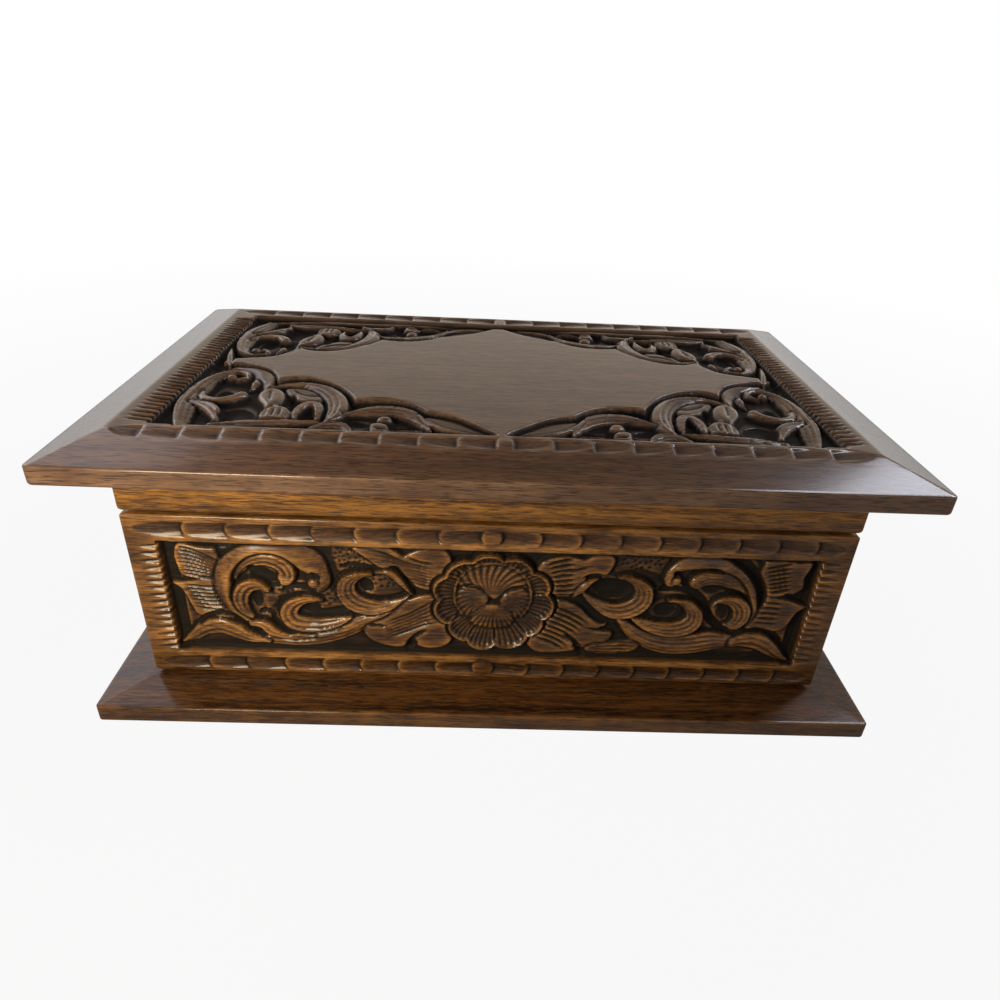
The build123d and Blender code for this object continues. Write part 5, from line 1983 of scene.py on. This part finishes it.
@dataclass(frozen=True)
class WoodFinish(Finish):
    """Stained and lacquered wood, painted dark in its hollows as shade and dark stain, and rubbed on its
    edges.
    """

    grain: Grain = Grain.ALONG_X
    light: Colour = (0.19, 0.075, 0.018, 1)
    dark: Colour = (0.028, 0.011, 0.006, 1)
    rubbed: Colour = (0.66, 0.3, 0.075, 1)
    # near-black of filled pores, also laid in the hollows as painted shade
    sunk: Colour = (0.006, 0.006, 0.005, 1)
    roughness: float = 0.5
    specular: float = 0.2
    coat: float = 0.65
    coat_roughness: float = 0.15
    streak_share: float = 0.65
    stain_worn: float = 0.7
    rubbed_cover: float = 0.9
    pore_cover: float = 0.6
    hollow_shade_cover: float = 0.93
    scratch_cover: float = 0.35
    patch_roughness: float = 0.22
    hollow_roughness: float = 0.25

    def fill(self, tree: Tree, shader: bpy.types.Node) -> None:
        """Layers rubbed edges, pores, painted shade in the hollows and scratches over the grain."""
        at = tree.node("ShaderNodeTexCoord").outputs["Object"]
        grain = tree.node("ShaderNodeGroup", node_tree=shared("wood_grain", wood_grain))
        tree.feed(grain.inputs["Vector"], tree.stretched(at, self.grain.value))
        wear = tree.node("ShaderNodeGroup", node_tree=shared("wear_and_painted_shade", wear_and_painted_shade))
        tree.feed(wear.inputs["Vector"], at)
        tone = tree.weighted(grain.outputs["Streaks"], grain.outputs["Figure"], self.streak_share)
        colour = tree.mix(tone, self.dark, self.light)
        stain = tree.math("MULTIPLY", tree.math("SUBTRACT", 1.0, tone), self.stain_worn)
        layers = (
            (wear.outputs["Rubbed"], self.rubbed_cover, tree.mix(stain, self.rubbed, self.light)),
            (grain.outputs["Pores"], self.pore_cover, self.sunk),
            # painted shade and dark stain in the hollows, in the near-black sunk colour
            (wear.outputs["Hollow"], self.hollow_shade_cover, self.sunk),
            (wear.outputs["Scratches"], self.scratch_cover, self.rubbed),
        )
        for mask, cover, over in layers:
            colour = tree.mix(tree.math("MULTIPLY", mask, cover), colour, over)
        tree.feed(shader.inputs["Base Color"], colour)
        rough = tree.math("ADD", tree.math("MULTIPLY", wear.outputs["Patches"], self.patch_roughness),
                          self.roughness - self.patch_roughness / 2)
        filled = tree.math("MULTIPLY", wear.outputs["Hollow"], self.hollow_roughness)
        tree.feed(shader.inputs["Roughness"], tree.math("ADD", rough, filled))
        shader.inputs["Specular IOR Level"].default_value = self.specular
        shader.inputs["Coat Roughness"].default_value = self.coat_roughness
        coat = tree.math("MULTIPLY", tree.math("SUBTRACT", 1.0, wear.outputs["Hollow"]), self.coat)
        tree.feed(shader.inputs["Coat Weight"], coat)
        ridges = tree.math("MULTIPLY", grain.outputs["Streaks"], 0.5)
        tree.bump(shader, tree.math("SUBTRACT", ridges, grain.outputs["Pores"]), 0.35, 0.00012)


@dataclass(frozen=True)
class VelvetFinish(Finish):
    """Short pile velvet, brushed unevenly."""

    deep: Colour = (0.055, 0.004, 0.008, 1)
    bright: Colour = (0.17, 0.016, 0.026, 1)

    def fill(self, tree: Tree, shader: bpy.types.Node) -> None:
        """Mixes the brushed tones and the pile."""
        at = tree.node("ShaderNodeTexCoord").outputs["Object"]
        brushed = tree.noise(at, 45.0, 3.0, 0.5, 0.8)
        pile = tree.noise(at, 2600.0, 2.0, 0.6)
        tone = tree.ramp(tree.weighted(brushed, pile, 0.6), (0.36, 0.0), (0.66, 1.0))
        tree.feed(shader.inputs["Base Color"], tree.mix(tone, self.deep, self.bright))
        tree.feed(shader.inputs["Roughness"], tree.math("ADD", tree.math("MULTIPLY", pile, 0.15), 0.8))
        shader.inputs["Sheen Weight"].default_value = 0.6
        shader.inputs["Sheen Roughness"].default_value = 0.4
        shader.inputs["Sheen Tint"].default_value = (0.8, 0.35, 0.38, 1)
        tree.bump(shader, pile, 0.6, 0.0002)


@dataclass(frozen=True)
class MetalFinish(Finish):
    """Aged metal, brushed and dulled in patches."""

    bright: Colour = (0.66, 0.47, 0.2, 1)
    dull: Colour = (0.27, 0.17, 0.07, 1)
    roughness: float = 0.3

    def fill(self, tree: Tree, shader: bpy.types.Node) -> None:
        """Mixes bright and tarnished metal with fine brushing."""
        at = tree.node("ShaderNodeTexCoord").outputs["Object"]
        tarnish = tree.ramp(tree.noise(at, 220.0, 4.0, 0.6), (0.36, 0.0), (0.66, 1.0))
        brushed = tree.noise(tree.stretched(at, (300.0, 5200.0, 5200.0)), 1.0, 2.0)
        tree.feed(shader.inputs["Base Color"], tree.mix(tarnish, self.bright, self.dull))
        shader.inputs["Metallic"].default_value = 1.0
        rough = tree.math("ADD", tree.math("MULTIPLY", tarnish, 0.22), self.roughness)
        tree.feed(shader.inputs["Roughness"], tree.math("ADD", rough, tree.math("MULTIPLY", brushed, 0.1)))
        tree.bump(shader, brushed, 0.25, 0.00005)


CARVED_WALNUT = WoodFinish("carved_walnut_finish")
LID_WALNUT = WoodFinish("lid_walnut_finish", light=(0.17, 0.082, 0.038, 1),
                        dark=(0.085, 0.038, 0.021, 1), rubbed=(0.34, 0.2, 0.12, 1), coat=1.0)
BOARD_WALNUT = WoodFinish("board_walnut_finish", light=(0.17, 0.065, 0.015, 1), dark=(0.02, 0.007, 0.003, 1),
                          rubbed=(0.36, 0.17, 0.05, 1), coat=0.6)
RAIL_WALNUT = WoodFinish("rail_walnut_finish", light=(0.42, 0.18, 0.032, 1), dark=(0.06, 0.022, 0.008, 1))
SIDE_WALNUT = WoodFinish("side_walnut_finish", grain=Grain.ALONG_Y)
SIDE_RAIL_WALNUT = replace(RAIL_WALNUT, name="side_rail_walnut_finish", grain=Grain.ALONG_Y)
VELVET = VelvetFinish("wine_velvet_finish")
BRASS = MetalFinish("aged_brass_finish")
STEEL = MetalFinish("zinc_steel_finish", bright=(0.5, 0.49, 0.47, 1), dull=(0.28, 0.27, 0.26, 1),
                    roughness=0.36)


# Sub-assemblies


@dataclass
class Walls:
    """The three carved walls of the box. The plain back wall is the frame's own."""

    foot_radius: float = 3.0
    lip_radius: float = 0.8

    def build(self) -> None:
        """Makes the carved walls."""
        members = (
            ("front_wall", Side.FRONT, FrontOrnament(), CARVED_WALNUT, "carved_walnut"),
            ("left_wall", Side.LEFT, SideOrnament(), SIDE_WALNUT, "walnut_walls"),
            ("right_wall", Side.RIGHT, SideOrnament(), SIDE_WALNUT, "walnut_walls"),
        )
        for node, side, ornament, finish, slot in members:
            member = MitredMember(node, side, self.foot_radius, self.lip_radius, ornament)
            settle(member.build(), "box", slot, finish, node)


@dataclass
class Lid:
    """The lid board and the rails under it."""

    bevel: float = 18.9
    edge: float = 7.1
    corner_radius: float = 2.2
    under_radius: float = 1.4
    arris_ease: float = 0.6
    rail_foot: float = 2.5

    def build(self) -> None:
        """Makes the carved lid board and its front and side rails."""
        board = CarvedLid("lid_board", self.bevel, self.edge, self.corner_radius, self.under_radius,
                          self.arris_ease)
        settle(board.build(), "lid", "carved_walnut", LID_WALNUT, "lid_board")
        for name, side in (("left", Side.LEFT), ("right", Side.RIGHT), ("front", Side.FRONT)):
            rail = MitredMember(f"lid_rail_{name}", side, self.rail_foot, 0.0)
            finish = RAIL_WALNUT if side is Side.FRONT else SIDE_RAIL_WALNUT
            settle(rail.build(), "lid", "walnut_walls", finish, f"lid_rail_{name}")


@dataclass
class Base:
    """The base board."""

    bevel: float = 17.7
    edge: float = 7.25
    corner_radius: float = 1.8
    under_radius: float = 0.8
    arris_ease: float = 0.6

    def build(self) -> None:
        """Makes the base board."""
        board = BaseBoard("base_board", self.bevel, self.edge, self.corner_radius, self.under_radius,
                          self.arris_ease)
        settle(board.build(), "box", "walnut_boards", BOARD_WALNUT, "base_board")


@dataclass(frozen=True)
class Linings:
    """The velvet linings of the box and of the lid, each with the way that it faces."""

    pads: tuple[tuple[str, Triple, str], ...] = (
        ("floor_lining", (0, 0, 1), "box"),
        ("front_lining", (0, 1, 0), "box"),
        ("back_lining", (0, -1, 0), "box"),
        ("left_lining", (1, 0, 0), "box"),
        ("right_lining", (-1, 0, 0), "box"),
        ("lid_lining", (0, 0, -1), "lid"),
    )

    def build(self) -> None:
        """Makes each pad in place of its lining board."""
        for seed, (node, face, body) in enumerate(self.pads, 1):
            settle(VelvetPad(node, Vector(face), seed).build(), body, "velvet_lining", VELVET, node)


@dataclass(frozen=True)
class Fittings:
    """The frame's own hinges, screws and plain members, with better finishes."""

    dressed: tuple[tuple[Finish, tuple[str, ...]], ...] = (
        (BRASS, ("hinge_left_box_leaf", "hinge_right_box_leaf", "hinge_left_lid_leaf", "hinge_right_lid_leaf",
                 "hinge_left_pin", "hinge_right_pin", "box_leaf_screws", "lid_leaf_screws")),
        (STEEL, ("base_screws",)),
        (CARVED_WALNUT, ("back_wall",)),
        (RAIL_WALNUT, ("lid_rail_back",)),
    )

    def build(self) -> None:
        """Gives each node its finish."""
        for finish, nodes in self.dressed:
            for node in nodes:
                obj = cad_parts[node]
                obj.data.materials.clear()
                obj.data.materials.append(finish.material())
                log.info("%s finished as %s", node, finish.name)


@dataclass
class Studio:
    """The camera of the photograph, a pale floor and soft lights."""

    place: Triple = (-0.0069080, -0.3022395, 0.2217864)
    right: Triple = (0.9989690, -0.0110332, 0.0440363)
    up: Triple = (-0.0329365, 0.4914295, 0.8702943)
    back: Triple = (-0.0312428, -0.8708475, 0.4905594)
    lens: float = 26.1052
    sensor: float = 36.0
    floor_half: float = 9.0
    aim: Triple = (0.0, 0.0, 0.06)

    def build(self) -> None:
        """Sets up the view, the surroundings and the lights."""
        self.camera()
        self.surroundings()
        self.floor()
        self.softbox("key_front", (-0.14, -0.235, 0.14), (0.09, 0.09), 0.42, (1.0, 0.9, 0.66))
        self.softbox("window_left", (-0.72, 0.55, 0.72), (0.4, 0.8), 1.7, (0.88, 0.9, 1.0))
        self.softbox("window_right", (0.80, 0.38, 0.95), (0.16, 0.8), 3.6, (0.88, 0.9, 1.0))
        self.softbox("window_front", (0.42, -0.5, 0.55), (0.06, 0.08), 0.08, (0.86, 0.92, 1.0))

    def camera(self) -> None:
        """Adds the camera."""
        data = bpy.data.cameras.new("photograph_view")
        data.lens = self.lens
        data.sensor_width = self.sensor
        camera = bpy.data.objects.new("photograph_view", data)
        turn = Matrix((self.right, self.up, self.back)).transposed().to_4x4()
        camera.matrix_world = Matrix.Translation(self.place) @ turn
        bpy.context.scene.collection.objects.link(camera)
        bpy.context.scene.camera = camera

    def surroundings(self) -> None:
        """Makes the pale world, white where the camera sees it."""
        world = bpy.data.worlds.new("pale_room")
        world.use_nodes = True
        bpy.context.scene.world = world
        tree = Tree(world.node_tree)
        world.node_tree.nodes.clear()
        ray = tree.node("ShaderNodeLightPath").outputs
        split = tree.node("ShaderNodeSeparateXYZ")
        tree.feed(split.inputs[0], tree.node("ShaderNodeTexCoord").outputs["Generated"])
        rise = split.outputs["Z"]
        room = tree.ramp(rise, (0.0, 0.16), (0.35, 0.12), (0.8, 0.1))
        mirrored = tree.ramp(rise, (0, 1), (0.1, 0.95), (0.2, 0.72), (0.34, 0.52), (0.6, 0.22), (0.85, 0.1))
        reflected = tree.math("MAXIMUM", ray["Is Glossy Ray"], ray["Is Transmission Ray"])
        warmth = tree.ramp(rise, (0.06, 0.0), (0.2, 1.0))
        mirrored = tree.mix(warmth, mirrored, tree.mix(1.0, mirrored, (1.0, 0.87, 0.72, 1), "MULTIPLY"))
        level = tree.mix(reflected, room, mirrored)
        sky = tree.node("ShaderNodeBackground")
        tree.feed(sky.inputs["Color"], tree.mix(ray["Is Camera Ray"], level, (1, 1, 1, 1)))
        out = tree.node("ShaderNodeOutputWorld")
        tree.feed(out.inputs["Surface"], sky.outputs[0])

    def floor(self) -> None:
        """Lays the floor."""
        mesh = bpy.data.meshes.new("floor")
        half = self.floor_half
        corners = [(-half, -half, 0), (half, -half, 0), (half, half, 0), (-half, half, 0)]
        mesh.from_pydata(corners, [], [(0, 1, 2, 3)])
        floor = bpy.data.objects.new("floor", mesh)
        bpy.context.scene.collection.objects.link(floor)
        material = bpy.data.materials.new("pale_floor")
        material.use_nodes = True
        material.node_tree.nodes.clear()
        tree = Tree(material.node_tree)
        matt = tree.node("ShaderNodeBsdfDiffuse")
        matt.inputs["Color"].default_value = (0.15, 0.15, 0.15, 1)
        glow = tree.node("ShaderNodeEmission")
        far = tree.node("ShaderNodeVectorMath", operation="LENGTH")
        tree.feed(far.inputs[0], tree.node("ShaderNodeTexCoord").outputs["Object"])
        share = tree.ramp(far.outputs["Value"], (0.2, 0.93), (0.9, 1.0))
        ray = tree.node("ShaderNodeLightPath").outputs
        reflected = tree.math("MAXIMUM", ray["Is Glossy Ray"], ray["Is Transmission Ray"])
        seen = tree.math("MAXIMUM", ray["Is Camera Ray"], tree.math("MULTIPLY", reflected, 0.25))
        both = tree.node("ShaderNodeMixShader")
        tree.feed(both.inputs[0], tree.math("MULTIPLY", seen, share))
        tree.feed(both.inputs[1], matt.outputs[0])
        tree.feed(both.inputs[2], glow.outputs[0])
        out = tree.node("ShaderNodeOutputMaterial")
        tree.feed(out.inputs["Surface"], both.outputs[0])
        mesh.materials.append(material)

    def softbox(self, name: str, place: Triple, size: Point, power: float, colour: Triple) -> None:
        """Adds a soft light that looks at the box.

        Args:
            name: The light's name.
            place: Where it stands, in metres.
            size: Its width and height.
            power: Its power in watts.
            colour: Its colour.
        """
        data = bpy.data.lights.new(name, "AREA")
        data.shape = "RECTANGLE"
        data.size, data.size_y = size
        data.energy = power
        data.color = colour
        lamp = bpy.data.objects.new(name, data)
        lamp.location = place
        lamp.rotation_euler = (Vector(self.aim) - Vector(place)).to_track_quat("-Z", "Y").to_euler()
        lamp.visible_camera = False
        bpy.context.scene.collection.objects.link(lamp)


def main() -> None:
    """Builds the sub-assemblies in order and reports each piece."""
    logging.basicConfig(level=logging.INFO, format="%(message)s")
    bpy.context.scene.view_settings.view_transform = "Standard"
    Studio().build()
    Base().build()
    Walls().build()
    Lid().build()
    Linings().build()
    Fittings().build()


if __name__ == "__main__":
    main()
